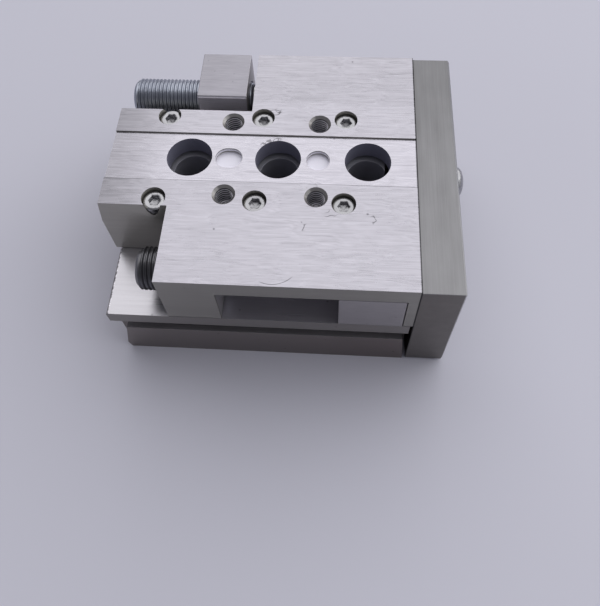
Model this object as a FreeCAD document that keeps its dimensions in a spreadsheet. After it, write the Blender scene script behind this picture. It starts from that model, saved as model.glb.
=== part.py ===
import FreeCAD, Part
import os

import Sketcher

# Compact pneumatic slide
# A full width slide rides on a ball guide over a twin piston housing.
# Frame: origin at the middle of the base face, X along the stroke with
# the yoke at +X, Y across, Z up. All sizes are millimetres.

os.makedirs("parts", exist_ok=True)
doc = FreeCAD.newDocument("mini_slide")

# Driving sizes
# Lengths measured back from the yoke face are positive towards -X.
SIZES = {
    # Overall
    "total_height": 40.0,
    "body_width": 66.0,
    "edge_break": 0.4,
    "cut_overrun": 1.0,
    "fit_gap": 0.03,
    "thread_gap": 0.05,
    "stop_gap": 0.05,
    # Housing
    "housing_length": 71.4,
    "yoke_gap": 0.7,
    "ledge_top": 21.1,
    "ledge_edge": 4.3,
    "groove_height": 3.9,
    "groove_depth": 3.4,
    "slab_top_set": 3.1,
    "slab_side_set": 1.0,
    "slab_foot_set": 1.6,
    "slab_foot_height": 2.6,
    "slab_yoke_set": 1.0,
    "ledge_end_bevel": 0.5,
    "rail_seat_depth": 1.0,
    "mount_first": 11.4,
    "mount_pitch": 21.2,
    "mount_head_radius": 4.75,
    "mount_hole_radius": 2.55,
    "mount_seat_height": 8.0,
    "base_dowel_radius": 2.0,
    "base_dowel_depth": 5.0,
    "port_radius": 2.1,
    "port_drop": 4.2,
    "port_floor": 1.0,
    "port_duct_radius": 0.9,
    "port_rear_inset": 7.9,
    "port_yoke_inset": 26.5,
    # Cylinders
    "bore_radius": 8.0,
    "bore_spacing": 30.0,
    "bore_height": 10.6,
    "bore_depth": 48.0,
    "clip_inset": 0.8,
    "clip_width": 1.0,
    "clip_groove_depth": 0.6,
    "clip_ring_width": 1.9,
    "clip_opening": 5.0,
    "plug_length": 5.0,
    "plug_bevel": 0.5,
    "ring_groove_width": 2.0,
    "ring_groove_depth": 1.5,
    "gland_radius": 6.0,
    "gland_depth": 8.0,
    "bush_length": 5.0,
    "gland_rim": 0.4,
    "rod_radius": 4.0,
    "rod_hole_gap": 0.25,
    "spigot_radius": 2.5,
    "spigot_length": 8.0,
    "piston_length": 10.0,
    "piston_start": 8.8,
    "piston_gap": 0.1,
    "piston_groove_width": 1.8,
    "piston_groove_depth": 1.4,
    "piston_groove_inset": 1.2,
    "magnet_width": 2.2,
    "magnet_depth": 1.8,
    # Ball guide
    "ball_radius": 2.0,
    "ball_clearance": 0.05,
    "ball_row_drop": 0.25,
    "ball_pitch": 5.0,
    "ball_count": 7,
    "cage_end": 4.0,
    "cage_height": 8.0,
    "cage_thickness": 1.0,
    "cage_start": 20.75,
    "centre_rail_half": 7.0,
    "centre_rail_top_gap": 1.4,
    "guide_gap": 2.4,
    "centre_rail_end_gap": 1.0,
    "centre_rail_rear_gap": 0.6,
    "side_rail_width": 4.6,
    "side_rail_lift": 0.5,
    "side_rail_rear_gap": 0.4,
    # Slide
    "slide_length": 73.0,
    "leg_lift": 0.25,
    "plate_thickness": 5.4,
    "end_wall": 6.0,
    "front_notch": 56.95,
    "rear_notch": 40.1,
    "window_rear": 44.4,
    "window_yoke": 2.3,
    "window_wall": 3.0,
    "beam_wall": 1.4,
    "strip_half": 6.9,
    "strip_depth": 0.45,
    "access_radius": 5.45,
    "tapped_first": 23.15,
    "tapped_row": 10.5,
    "tapped_radius": 2.1,
    "tapped_mouth_radius": 2.72,
    "dowel_radius": 2.79,
    "dowel_slot_shift": 0.46,
    "dowel_depth": 1.4,
    # M3 rail screws
    "rail_screw_set": 2.6,
    "screw_near": 16.8,
    "screw_middle": 37.1,
    "screw_far": 60.4,
    "m3_radius": 1.5,
    "m3_head_radius": 2.7,
    "m3_head_height": 3.0,
    "m3_length": 9.0,
    "m3_sink_gap": 0.11,
    "m3_sink_depth": 4.1,
    "m3_socket": 1.25,
    "m3_socket_depth": 1.6,
    "rail_screw_grip": 5.0,
    # Yoke
    "yoke_thickness": 9.4,
    "yoke_set_down": 0.6,
    "yoke_lift": 0.6,
    "yoke_screw_depth": 8.0,
    "m5_radius": 2.5,
    "m5_clear_gap": 0.25,
    "screw_end_gap": 0.5,
    "m5_head_radius": 4.25,
    "m5_head_height": 5.0,
    "m5_sink_gap": 0.25,
    "m5_socket": 2.0,
    "m5_socket_depth": 2.4,
    "m4_radius": 2.0,
    "m4_button_radius": 3.8,
    "m4_button_height": 2.2,
    "m4_button_crown": 1.9,
    "m4_head_radius": 3.9,
    "m4_socket": 1.25,
    "m4_socket_depth": 1.4,
    "yoke_screw_row": 10.0,
    "rod_screw_grip": 8.0,
    "pin_radius": 1.5,
    "pin_length": 10.0,
    "pin_row": 22.0,
    "pin_drop": 2.9,
    # Stops
    "adjuster_radius": 5.0,
    "adjuster_shift": 0.275,
    "adjuster_bevel": 0.7,
    "adjuster_socket": 2.5,
    "adjuster_socket_depth": 4.0,
    "rear_adjuster_end": 73.0,
    "front_adjuster_end": 63.0,
    "tip_radius": 3.7,
    "tip_inset": 3.0,
    "tip_roof_gap": 0.1,
    "rear_tip_reach": 1.05,
    "front_tip_reach": 1.2,
    "front_tip_proud": 0.65,
    "tip_bevel": 0.5,
    "rear_block_gap": 1.95,
    "rear_block_length": 12.55,
    "rear_block_side_gap": 2.95,
    "front_block_length": 14.75,
    "front_block_side_gap": 0.5,
    "front_block_gap": 0.2,
    "front_block_top_gap": 0.3,
    "block_bevel": 0.7,
    "block_screw_shift": 1.0,
    "block_screw_pitch": 7.0,
    "block_thread_wall": 0.15,
}

sheet = doc.addObject("Spreadsheet::Sheet", "dims")
for row, (alias, number) in enumerate(SIZES.items(), start=1):
    sheet.set(f"A{row}", alias)
    sheet.set(f"B{row}", str(number))
    sheet.setAlias(f"B{row}", alias)
doc.recompute()

# Places that several pieces share, as expressions over the sheet
YOKE_FACE = "(dims.housing_length / 2 + dims.yoke_gap)"
HALF_WIDTH = "(dims.body_width / 2)"
HALF_LENGTH = "(dims.housing_length / 2)"
LEDGE_DROP = "(dims.ledge_top - dims.total_height)"
LEG_BOTTOM = "(dims.ledge_top + dims.leg_lift - dims.total_height)"
BORE_ROW = "(dims.bore_spacing / 2)"
BORE_DROP = "(dims.bore_height - dims.total_height)"
PORT_HEIGHT = "(dims.bore_height - dims.port_drop)"
PLATE_UNDER = "(dims.total_height - dims.plate_thickness)"
SIDE_RAIL_INNER = "(dims.centre_rail_half + dims.guide_gap)"
BEAM_HALF = f"({SIDE_RAIL_INNER} + dims.side_rail_width)"
NOTCH_WALL = f"({BEAM_HALF} + dims.beam_wall)"
BALL_ROW = "(dims.centre_rail_half + dims.guide_gap / 2)"
BALL_HEIGHT = f"((dims.ledge_top + {PLATE_UNDER}) / 2 - dims.ball_row_drop)"
CENTRE_RAIL_TOP = f"({PLATE_UNDER} - dims.centre_rail_top_gap)"
RAIL_SCREW_SEAT = "(dims.ledge_top - dims.rail_seat_depth + dims.rail_screw_grip)"
CAGE_LENGTH = "((dims.ball_count - 1) * dims.ball_pitch + 2 * dims.cage_end)"
SCREW_ROW = f"({SIDE_RAIL_INNER} + dims.rail_screw_set)"
M3_SINK_RADIUS = "(dims.m3_head_radius + dims.m3_sink_gap)"
WINDOW_INNER = f"({BEAM_HALF} + dims.window_wall)"
ADJUSTER_ROW = (f"(({NOTCH_WALL} + dims.rear_block_side_gap + {HALF_WIDTH}) / 2"
                " - dims.adjuster_shift)")
ADJUSTER_HEIGHT = f"({PLATE_UNDER} - dims.tip_roof_gap - dims.tip_radius)"
ADJUSTER_DROP = f"({ADJUSTER_HEIGHT} - dims.total_height)"
BLOCK_SCREW_ROW = (f"(({BORE_ROW} + dims.bore_radius + {HALF_WIDTH}) / 2"
                   " - dims.block_screw_shift)")
BLOCK_SCREW_BITE = (f"({ADJUSTER_HEIGHT} - dims.adjuster_radius - dims.thread_gap"
                    " - dims.block_thread_wall - dims.ledge_top)")
PLUG_START = "(dims.clip_inset + dims.clip_width - dims.housing_length / 2)"
SCREW_STATIONS = ("dims.screw_near", "dims.screw_middle", "dims.screw_far")
SIDES = (-1, 1)


def value(expression):
    """Number that an expression over the sheet gives."""
    return float(sheet.evalExpression(expression))


def new_body(label, x="0", y="0", z="0"):
    """Body whose own origin stands at the given place."""
    body = doc.addObject("PartDesign::Body", label)
    body.Label = label
    body.AllowCompound = True
    for axis, place in zip("xyz", (x, y, z)):
        body.setExpression(f"Placement.Base.{axis}", place)
    return body


def sketch_on(body, role, label, offset="0"):
    """Sketch on one of the body's origin planes, moved along its normal."""
    planes = [item for item in body.Origin.OriginFeatures if item.Role == role]
    sketch = body.newObject("Sketcher::SketchObject", f"{body.Label}_{label}")
    sketch.AttachmentSupport = [(planes[0], "")]
    sketch.MapMode = "FlatFace"
    sketch.setExpression("AttachmentOffset.Base.z", offset)
    return sketch


def place_point(sketch, edge, point, across, along):
    """Hold one point of an edge at two expressions."""
    for kind, expression in (("DistanceX", across), ("DistanceY", along)):
        index = sketch.addConstraint(
            Sketcher.Constraint(kind, -1, 1, edge, point, value(expression)))
        sketch.setExpression(f"Constraints[{index}]", expression)


def draw_outline(sketch, corners):
    """Closed outline through corners given as pairs of expressions."""
    points = [FreeCAD.Vector(value(u), value(v), 0) for u, v in corners]
    first = sketch.GeometryCount
    count = len(points)
    for step in range(count):
        line = Part.LineSegment(points[step], points[(step + 1) % count])
        sketch.addGeometry(line, False)
    for step in range(count):
        following = first + (step + 1) % count
        sketch.addConstraint(
            Sketcher.Constraint("Coincident", first + step, 2, following, 1))
    for step, (u, v) in enumerate(corners):
        place_point(sketch, first + step, 1, u, v)


def draw_box(sketch, low, high):
    """Rectangle between two opposite corners."""
    (u0, v0), (u1, v1) = low, high
    draw_outline(sketch, [(u0, v0), (u1, v0), (u1, v1), (u0, v1)])


def draw_circle(sketch, u, v, radius):
    """Circle with its centre and radius held by expressions."""
    centre = FreeCAD.Vector(value(u), value(v), 0)
    normal = FreeCAD.Vector(0, 0, 1)
    edge = sketch.addGeometry(Part.Circle(centre, normal, value(radius)), False)
    place_point(sketch, edge, 3, u, v)
    index = sketch.addConstraint(
        Sketcher.Constraint("Radius", edge, value(radius)))
    sketch.setExpression(f"Constraints[{index}]", radius)


def draw_slot(sketch, u, v, half_travel, radius):
    """Slot along the first sketch axis with round ends."""
    centre_u, centre_v = value(u), value(v)
    reach, size = value(half_travel), value(radius)
    normal = FreeCAD.Vector(0, 0, 1)
    quarter = 1.5707963267948966
    ends = [FreeCAD.Vector(centre_u + side * reach, centre_v, 0) for side in SIDES]
    left = Part.ArcOfCircle(Part.Circle(ends[0], normal, size), quarter, 3 * quarter)
    right = Part.ArcOfCircle(Part.Circle(ends[1], normal, size), -quarter, quarter)
    low = Part.LineSegment(ends[0] - FreeCAD.Vector(0, size, 0),
                           ends[1] - FreeCAD.Vector(0, size, 0))
    high = Part.LineSegment(ends[1] + FreeCAD.Vector(0, size, 0),
                            ends[0] + FreeCAD.Vector(0, size, 0))
    edges = [sketch.addGeometry(item, False) for item in (left, low, right, high)]
    for step in range(4):
        following = edges[(step + 1) % 4]
        sketch.addConstraint(
            Sketcher.Constraint("Tangent", edges[step], 2, following, 1))
    place_point(sketch, edges[0], 3, f"{u} - {half_travel}", v)
    place_point(sketch, edges[2], 3, f"{u} + {half_travel}", v)
    index = sketch.addConstraint(Sketcher.Constraint("Radius", edges[0], size))
    sketch.setExpression(f"Constraints[{index}]", radius)


def draw_hexagon(sketch, u, v, half_flats):
    """Hexagon with two flats across the second sketch axis."""
    half_side = f"{half_flats} * 0.57735027"
    point = f"{half_flats} * 1.15470054"
    draw_outline(sketch, [
        (f"{u} + {point}", v),
        (f"{u} + {half_side}", f"{v} + {half_flats}"),
        (f"{u} - {half_side}", f"{v} + {half_flats}"),
        (f"{u} - {point}", v),
        (f"{u} - {half_side}", f"{v} - {half_flats}"),
        (f"{u} + {half_side}", f"{v} - {half_flats}"),
    ])


def pad(body, sketch, length):
    """Solid raised from a sketch along its normal."""
    feature = body.newObject("PartDesign::Pad", f"{sketch.Name}_pad")
    feature.Profile = sketch
    feature.setExpression("Length", length)
    body.Tip = feature
    doc.recompute()
    return feature


def cut_checked(body, feature, before):
    """Make a cut the tip, and stop if it takes nothing away."""
    body.Tip = feature
    doc.recompute()
    if not feature.Shape.Volume < before - 1e-6:
        raise ValueError(f"{feature.Name} removes no material")
    return feature


def pocket(body, sketch, depth, reverse=False):
    """Cut that goes against the sketch normal, or along it in reverse."""
    before = body.Tip.Shape.Volume
    feature = body.newObject("PartDesign::Pocket", f"{sketch.Name}_cut")
    feature.Profile = sketch
    feature.setExpression("Length", depth)
    feature.Reversed = reverse
    return cut_checked(body, feature, before)


def add_turning_axis(sketch, u0, v0, u1, v1):
    """Construction line that a profile turns about."""
    start = FreeCAD.Vector(value(u0), value(v0), 0)
    end = FreeCAD.Vector(value(u1), value(v1), 0)
    edge = sketch.addGeometry(Part.LineSegment(start, end), True)
    place_point(sketch, edge, 1, u0, v0)
    place_point(sketch, edge, 2, u1, v1)


def groove(body, sketch):
    """Turned cut about the sketch's construction line."""
    before = body.Tip.Shape.Volume
    feature = body.newObject("PartDesign::Groove", f"{sketch.Name}_turned")
    feature.Profile = sketch
    feature.ReferenceAxis = (sketch, ["Axis0"])
    return cut_checked(body, feature, before)


def turn(body, sketch):
    """Turned solid about the sketch's first axis."""
    feature = body.newObject("PartDesign::Revolution", f"{sketch.Name}_turned")
    feature.Profile = sketch
    feature.ReferenceAxis = (sketch, ["H_Axis"])
    body.Tip = feature
    doc.recompute()
    return feature


def bevel(body, edges, size):
    """Chamfer on the named edges of the tip."""
    solid = body.Tip
    feature = body.newObject("PartDesign::Chamfer", f"{body.Name}_bevel")
    feature.Base = (solid, edges)
    feature.setExpression("Size", size)
    body.Tip = feature
    doc.recompute()
    return feature


def edges_along(shape, axis, test):
    """Names of the straight edges that run along one axis and pass a test."""
    names = []
    for index, edge in enumerate(shape.Edges, start=1):
        ends = [vertex.Point for vertex in edge.Vertexes]
        if len(ends) != 2 or edge.Curve.TypeId != "Part::GeomLine":
            continue
        direction = (ends[1] - ends[0]).normalize()
        if abs(direction.dot(axis)) > 0.999 and test(ends[0]):
            names.append(f"Edge{index}")
    return names


ALONG_X = FreeCAD.Vector(1, 0, 0)
ALONG_Y = FreeCAD.Vector(0, 1, 0)
ALONG_Z = FreeCAD.Vector(0, 0, 1)

# Turns about Y that stand a screw made along X on its seat
HEAD_UP = -90.0
HEAD_DOWN = 90.0


def housing_section(body):
    """Extruded section with the side ledges, slots and rail seat."""
    slot_bottom = "(dims.ledge_top - dims.ledge_edge - dims.groove_height)"
    slot_top = "(dims.ledge_top - dims.ledge_edge)"
    slot_wall = f"({HALF_WIDTH} - dims.groove_depth)"
    seat = "(dims.ledge_top - dims.rail_seat_depth)"
    right = [
        (HALF_WIDTH, "0"),
        (HALF_WIDTH, slot_bottom),
        (slot_wall, slot_bottom),
        (slot_wall, slot_top),
        (HALF_WIDTH, slot_top),
        (HALF_WIDTH, "dims.ledge_top"),
        ("dims.centre_rail_half", "dims.ledge_top"),
        ("dims.centre_rail_half", seat),
    ]
    left = [(f"0 - {across}", height) for across, height in reversed(right)]
    section = sketch_on(body, "YZ_Plane", "section", f"0 - {HALF_LENGTH}")
    draw_outline(section, right + left)
    pad(body, section, "dims.housing_length")


def housing_slab_ends(body):
    """Sloped ends of the lower slab, on both sides."""
    slot_bottom = "(dims.ledge_top - dims.ledge_edge - dims.groove_height)"
    outer = f"({HALF_LENGTH} + dims.cut_overrun)"
    rear_end = [
        (f"0 - {outer}", "0 - dims.cut_overrun"),
        (f"dims.slab_foot_set - {HALF_LENGTH}", "0 - dims.cut_overrun"),
        (f"dims.slab_foot_set - {HALF_LENGTH}", "0"),
        (f"dims.slab_side_set - {HALF_LENGTH}", "dims.slab_foot_height"),
        (f"dims.slab_top_set - {HALF_LENGTH}", slot_bottom),
        (f"0 - {outer}", slot_bottom),
    ]
    yoke_end = [
        (HALF_LENGTH, "0"),
        (outer, "0"),
        (outer, slot_bottom),
        (f"{HALF_LENGTH} - dims.slab_yoke_set", slot_bottom),
    ]
    for side, name in zip(SIDES, ("front", "rear")):
        offset = f"{-side} * {HALF_WIDTH}"
        for end, corners in (("rear", rear_end), ("yoke", yoke_end)):
            face = sketch_on(body, "XZ_Plane", f"{name}_slab_{end}_end", offset)
            draw_outline(face, corners)
            pocket(body, face, "dims.groove_depth", reverse=side > 0)


def housing_ledge_end(body):
    """Chamfer along the rear end of both ledges."""
    end = 0 - value(HALF_LENGTH)
    top = value("dims.ledge_top")
    rim = edges_along(body.Tip.Shape, ALONG_Y, lambda point: (
        abs(point.x - end) < 0.01 and abs(point.z - top) < 0.01))
    bevel(body, rim, "dims.ledge_end_bevel")


def housing_bores(body):
    """Stepped cylinder bore with clip groove and gland seat, on both sides."""
    clip_near = f"(dims.clip_inset - {HALF_LENGTH})"
    clip_far = f"({clip_near} + dims.clip_width)"
    clip_radius = "(dims.bore_radius + dims.clip_groove_depth)"
    bore_end = f"(dims.bore_depth - {HALF_LENGTH})"
    hole = "(dims.rod_radius + dims.rod_hole_gap)"
    gland = f"({HALF_LENGTH} - dims.gland_depth)"
    outer = f"({HALF_LENGTH} + dims.cut_overrun)"
    steps = [
        (f"0 - {outer}", "0"),
        (f"0 - {outer}", "dims.bore_radius"),
        (clip_near, "dims.bore_radius"),
        (clip_near, clip_radius),
        (clip_far, clip_radius),
        (clip_far, "dims.bore_radius"),
        (bore_end, "dims.bore_radius"),
        (bore_end, hole),
        (gland, hole),
        (gland, "dims.gland_radius"),
        (outer, "dims.gland_radius"),
        (outer, "0"),
    ]
    for side, name in zip(SIDES, ("front", "rear")):
        profile = sketch_on(body, "XY_Plane", f"{name}_bore", "dims.bore_height")
        row_y = f"{side} * {BORE_ROW}"
        draw_outline(profile, [(x, f"{row_y} + {r}") for x, r in steps])
        add_turning_axis(profile, f"0 - {outer}", row_y, outer, row_y)
        groove(body, profile)


def mount_stations():
    """X places of the three mounting holes, in the part frame."""
    return [f"({YOKE_FACE} - dims.mount_first - {step} * dims.mount_pitch)"
            for step in range(3)]


def between_stations():
    """X places half way between the mounting holes."""
    return [f"({YOKE_FACE} - dims.mount_first - {step} * dims.mount_pitch)"
            for step in (0.5, 1.5)]


def housing_holes(body):
    """Mounting, dowel, rail screw, air and stop block holes."""
    top = sketch_on(body, "XY_Plane", "head_seats", "dims.ledge_top")
    for station in mount_stations():
        draw_circle(top, station, "0", "dims.mount_head_radius")
    pocket(body, top, "dims.ledge_top - dims.mount_seat_height")
    through = sketch_on(body, "XY_Plane", "mount_holes", "dims.ledge_top")
    for station in mount_stations():
        draw_circle(through, station, "0", "dims.mount_hole_radius")
    pocket(body, through, "dims.ledge_top + dims.cut_overrun")
    dowels = sketch_on(body, "XY_Plane", "base_dowels")
    threads = sketch_on(body, "XY_Plane", "rail_threads", "dims.ledge_top")
    for station in between_stations():
        draw_circle(dowels, station, "0", "dims.base_dowel_radius")
        draw_circle(threads, station, "0", "dims.m3_radius + dims.thread_gap")
    pocket(body, dowels, "dims.base_dowel_depth", reverse=True)
    pocket(body, threads, "dims.rail_seat_depth + dims.m3_length")
    ports = sketch_on(body, "XZ_Plane", "ports", f"0 - {HALF_WIDTH}")
    ducts = sketch_on(body, "XZ_Plane", "ducts", f"0 - {HALF_WIDTH}")
    for station in (f"dims.port_rear_inset - {HALF_LENGTH}",
                    f"{HALF_LENGTH} - dims.port_yoke_inset"):
        draw_circle(ports, station, PORT_HEIGHT, "dims.port_radius")
        draw_circle(ducts, station, PORT_HEIGHT, "dims.port_duct_radius")
    wall = f"({HALF_WIDTH} - {BORE_ROW} - dims.bore_radius)"
    pocket(body, ports, f"{wall} - dims.port_floor", reverse=True)
    pocket(body, ducts, f"{wall} + dims.bore_radius / 4", reverse=True)
    heads = sketch_on(body, "XY_Plane", "block_heads")
    shanks = sketch_on(body, "XY_Plane", "block_shanks")
    for x, y in block_screw_places():
        draw_circle(heads, x, y, M3_SINK_RADIUS)
        draw_circle(shanks, x, y, "dims.m3_radius + dims.thread_gap")
    pocket(body, heads, "dims.m3_sink_depth", reverse=True)
    pocket(body, shanks, "dims.ledge_top + dims.cut_overrun", reverse=True)


def block_middle(side):
    """X of the middle of a stop block, in the part frame."""
    if side < 0:
        inset = ("dims.window_yoke + dims.front_block_gap"
                 " + dims.front_block_length / 2")
    else:
        inset = ("dims.rear_notch + dims.rear_block_gap"
                 " + dims.rear_block_length / 2")
    return f"({YOKE_FACE} - ({inset}))"


def block_screw_places():
    """Places of the four screws that hold the stop blocks from below."""
    places = []
    for side in SIDES:
        for step in SIDES:
            x = f"({block_middle(side)} + {step} * dims.block_screw_pitch / 2)"
            places.append((x, f"({side} * {BLOCK_SCREW_ROW})"))
    return places


def make_housing():
    """Extruded cylinder housing."""
    body = new_body("housing")
    housing_section(body)
    housing_slab_ends(body)
    housing_ledge_end(body)
    housing_bores(body)
    housing_holes(body)
    return body


def slide_section(body):
    """Slide plate with both side legs."""
    section = sketch_on(body, "YZ_Plane", "section", "0 - dims.slide_length")
    right = [
        (HALF_WIDTH, "0"),
        (HALF_WIDTH, LEG_BOTTOM),
        (BEAM_HALF, LEG_BOTTOM),
        (BEAM_HALF, "0 - dims.plate_thickness"),
    ]
    left = [(f"0 - {across}", height) for across, height in reversed(right)]
    draw_outline(section, right + left)
    pad(body, section, "dims.slide_length")
    wall = sketch_on(body, "YZ_Plane", "end_wall", "0 - dims.end_wall")
    draw_box(wall, (f"0 - {BEAM_HALF}", LEG_BOTTOM),
             (BEAM_HALF, "0 - dims.plate_thickness / 2"))
    pad(body, wall, "dims.end_wall")


def slide_cutouts(body):
    """Corner notches, stop window and the shallow strip on top."""
    over = "dims.cut_overrun"
    outer = f"(0 - dims.slide_length - {over})"
    plan = sketch_on(body, "XY_Plane", "notches")
    draw_box(plan, (outer, f"0 - {HALF_WIDTH} - {over}"),
             ("0 - dims.front_notch", f"0 - {NOTCH_WALL}"))
    draw_box(plan, (outer, NOTCH_WALL),
             ("0 - dims.rear_notch", f"{HALF_WIDTH} + {over}"))
    pocket(body, plan, f"{over} - {LEG_BOTTOM}")
    for side, name in zip(SIDES, ("front", "rear")):
        slope = sketch_on(body, "YZ_Plane", f"{name}_slope", outer)
        draw_outline(slope, [
            (f"{side} * {BEAM_HALF}", "0"),
            (f"{side} * {BEAM_HALF}", over),
            (f"{side} * ({NOTCH_WALL} + {over})", over),
            (f"{side} * ({NOTCH_WALL} + {over})", "0 - dims.plate_thickness"),
            (f"{side} * {NOTCH_WALL}", "0 - dims.plate_thickness"),
        ])
        pocket(body, slope, f"dims.slide_length + {over} - dims.{name}_notch",
               reverse=True)
    window = sketch_on(body, "XZ_Plane", "window", HALF_WIDTH)
    draw_box(window, ("0 - dims.window_rear", f"{LEG_BOTTOM} - {over}"),
             ("0 - dims.window_yoke", "0 - dims.plate_thickness"))
    pocket(body, window, f"{HALF_WIDTH} - {WINDOW_INNER}")
    strip = sketch_on(body, "XY_Plane", "strip")
    draw_box(strip, (outer, "0 - dims.strip_half"), (over, "dims.strip_half"))
    pocket(body, strip, "dims.strip_depth")


def slide_top_holes(body):
    """Access, tapped, dowel and rail screw holes in the slide plate."""
    deep = "dims.plate_thickness + dims.cut_overrun"
    access = sketch_on(body, "XY_Plane", "access")
    for step in range(3):
        draw_circle(access, f"0 - dims.mount_first - {step} * dims.mount_pitch",
                    "0", "dims.access_radius")
    pocket(body, access, deep)
    tapped = sketch_on(body, "XY_Plane", "tapped")
    mouths = sketch_on(body, "XY_Plane", "mouths")
    for step in range(2):
        x = f"0 - dims.tapped_first - {step} * dims.mount_pitch"
        for side in SIDES:
            y = f"{side} * dims.tapped_row"
            draw_circle(tapped, x, y, "dims.tapped_radius")
            draw_circle(mouths, x, y, "dims.tapped_mouth_radius")
    pocket(body, tapped, "dims.plate_thickness")
    mouth = pocket(body, mouths, "dims.tapped_mouth_radius - dims.tapped_radius")
    mouth.setExpression("TaperAngle", "0 - 44.9")
    dowels = sketch_on(body, "XY_Plane", "dowels")
    draw_circle(dowels, "0 - dims.tapped_first", "0", "dims.dowel_radius")
    draw_slot(dowels, "0 - dims.tapped_first - dims.mount_pitch", "0",
              "dims.dowel_slot_shift", "dims.dowel_radius")
    pocket(body, dowels, "dims.dowel_depth + dims.strip_depth")
    sinks = sketch_on(body, "XY_Plane", "sinks")
    shanks = sketch_on(body, "XY_Plane", "shanks")
    for station in SCREW_STATIONS:
        for side in SIDES:
            x, y = f"0 - {station}", f"{side} * {SCREW_ROW}"
            draw_circle(sinks, x, y, M3_SINK_RADIUS)
            draw_circle(shanks, x, y, "dims.m3_radius + dims.thread_gap")
    pocket(body, sinks, "dims.m3_sink_depth")
    pocket(body, shanks, deep)


def slide_end_holes(body):
    """Adjuster hole in the front leg and the yoke screw and pin holes."""
    leg = sketch_on(body, "YZ_Plane", "adjuster_hole",
                    "0 - dims.front_notch - dims.cut_overrun")
    draw_circle(leg, f"0 - {ADJUSTER_ROW}", ADJUSTER_DROP,
                "dims.adjuster_radius + dims.thread_gap")
    pocket(body, leg, "dims.front_notch - dims.window_rear"
           " + 2 * dims.cut_overrun", reverse=True)
    screws = sketch_on(body, "YZ_Plane", "yoke_threads")
    for row in (-1, 0, 1):
        draw_circle(screws, f"{row} * dims.yoke_screw_row",
                    "0 - dims.yoke_screw_depth",
                    "dims.m4_radius + dims.thread_gap")
    pocket(body, screws, "dims.end_wall")
    pins = sketch_on(body, "YZ_Plane", "pins")
    for side in SIDES:
        draw_circle(pins, f"{side} * dims.pin_row", "0 - dims.pin_drop",
                    "dims.pin_radius + dims.fit_gap")
    pocket(body, pins, "dims.pin_length / 2 + dims.cut_overrun")


def make_slide():
    """Slide table, drawn from the yoke face and its top surface."""
    body = new_body("slide", YOKE_FACE, "0", "dims.total_height")
    slide_section(body)
    slide_cutouts(body)
    slide_top_holes(body)
    slide_end_holes(body)
    return body


def make_side_rail(side, label):
    """Hardened rail under the slide, with its ball track."""
    body = new_body(label, YOKE_FACE, "0", "dims.total_height")
    low = "(dims.ledge_top + dims.side_rail_lift - dims.total_height)"
    length = "(dims.slide_length - dims.side_rail_rear_gap - dims.end_wall)"
    section = sketch_on(body, "YZ_Plane", "section",
                        f"0 - dims.end_wall - {length}")
    inner, outer = f"{side} * {SIDE_RAIL_INNER}", f"{side} * {BEAM_HALF}"
    draw_box(section, (inner, low), (outer, "0 - dims.plate_thickness"))
    pad(body, section, length)
    cut_track(body, side, length, "dims.end_wall")
    threads = sketch_on(body, "XY_Plane", "threads", "0 - dims.plate_thickness")
    for station in SCREW_STATIONS:
        draw_circle(threads, f"0 - {station}", f"{side} * {SCREW_ROW}",
                    "dims.m3_radius + dims.thread_gap")
    pocket(body, threads, "dims.m3_length")
    return body


def cut_track(body, side, length, start):
    """Round bottomed ball track along one side of a rail."""
    track = sketch_on(body, "YZ_Plane", f"track_{'rear' if side > 0 else 'front'}",
                      f"dims.cut_overrun - {start}")
    draw_circle(track, f"{side} * {BALL_ROW}",
                f"{BALL_HEIGHT} - dims.total_height",
                "dims.ball_radius + dims.ball_clearance")
    pocket(body, track, f"{length} + 2 * dims.cut_overrun")


def make_centre_rail():
    """Hardened rail on the housing, with a ball track on each side."""
    body = new_body("centre_rail", YOKE_FACE, "0", "dims.total_height")
    start = "(dims.end_wall + dims.centre_rail_end_gap)"
    length = (f"(dims.housing_length + dims.yoke_gap - {start}"
              " - dims.centre_rail_rear_gap)")
    low = f"({LEDGE_DROP} - dims.rail_seat_depth)"
    high = f"({CENTRE_RAIL_TOP} - dims.total_height)"
    section = sketch_on(body, "YZ_Plane", "section", f"0 - {start} - {length}")
    draw_box(section, ("0 - dims.centre_rail_half", low),
             ("dims.centre_rail_half", high))
    pad(body, section, length)
    for side in SIDES:
        cut_track(body, side, length, start)
    heads = sketch_on(body, "XY_Plane", "mount_access", high)
    for step in range(3):
        draw_circle(heads, f"0 - dims.mount_first - {step} * dims.mount_pitch",
                    "0", "dims.mount_head_radius")
    pocket(body, heads, f"{high} - {low} + dims.cut_overrun")
    sinks = sketch_on(body, "XY_Plane", "sinks", high)
    shanks = sketch_on(body, "XY_Plane", "shanks", high)
    for step in (0.5, 1.5):
        x = f"0 - dims.mount_first - {step} * dims.mount_pitch"
        draw_circle(sinks, x, "0", M3_SINK_RADIUS)
        draw_circle(shanks, x, "0", "dims.m3_radius + dims.thread_gap")
    pocket(body, sinks, f"{CENTRE_RAIL_TOP} - {RAIL_SCREW_SEAT}")
    pocket(body, shanks, f"{high} - {low} + dims.cut_overrun")
    return body


def ball_stations():
    """X of each ball centre, measured from the yoke face."""
    first = ("(0 - dims.cage_start - dims.cage_end"
             " - (dims.ball_count - 1) * dims.ball_pitch)")
    return [f"({first} + {step} * dims.ball_pitch)"
            for step in range(int(value("dims.ball_count")))]


def make_cage(side, label):
    """Strip that spaces the balls of one row."""
    body = new_body(label, YOKE_FACE, f"{side} * {BALL_ROW}", BALL_HEIGHT)
    strip = sketch_on(body, "XZ_Plane", "strip", "0 - dims.cage_thickness / 2")
    draw_box(strip,
             (f"0 - dims.cage_start - {CAGE_LENGTH}", "0 - dims.cage_height / 2"),
             ("0 - dims.cage_start", "dims.cage_height / 2"))
    for station in ball_stations():
        draw_circle(strip, station, "0", "dims.ball_radius + dims.ball_clearance")
    pad(body, strip, "dims.cage_thickness")
    return body


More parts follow.
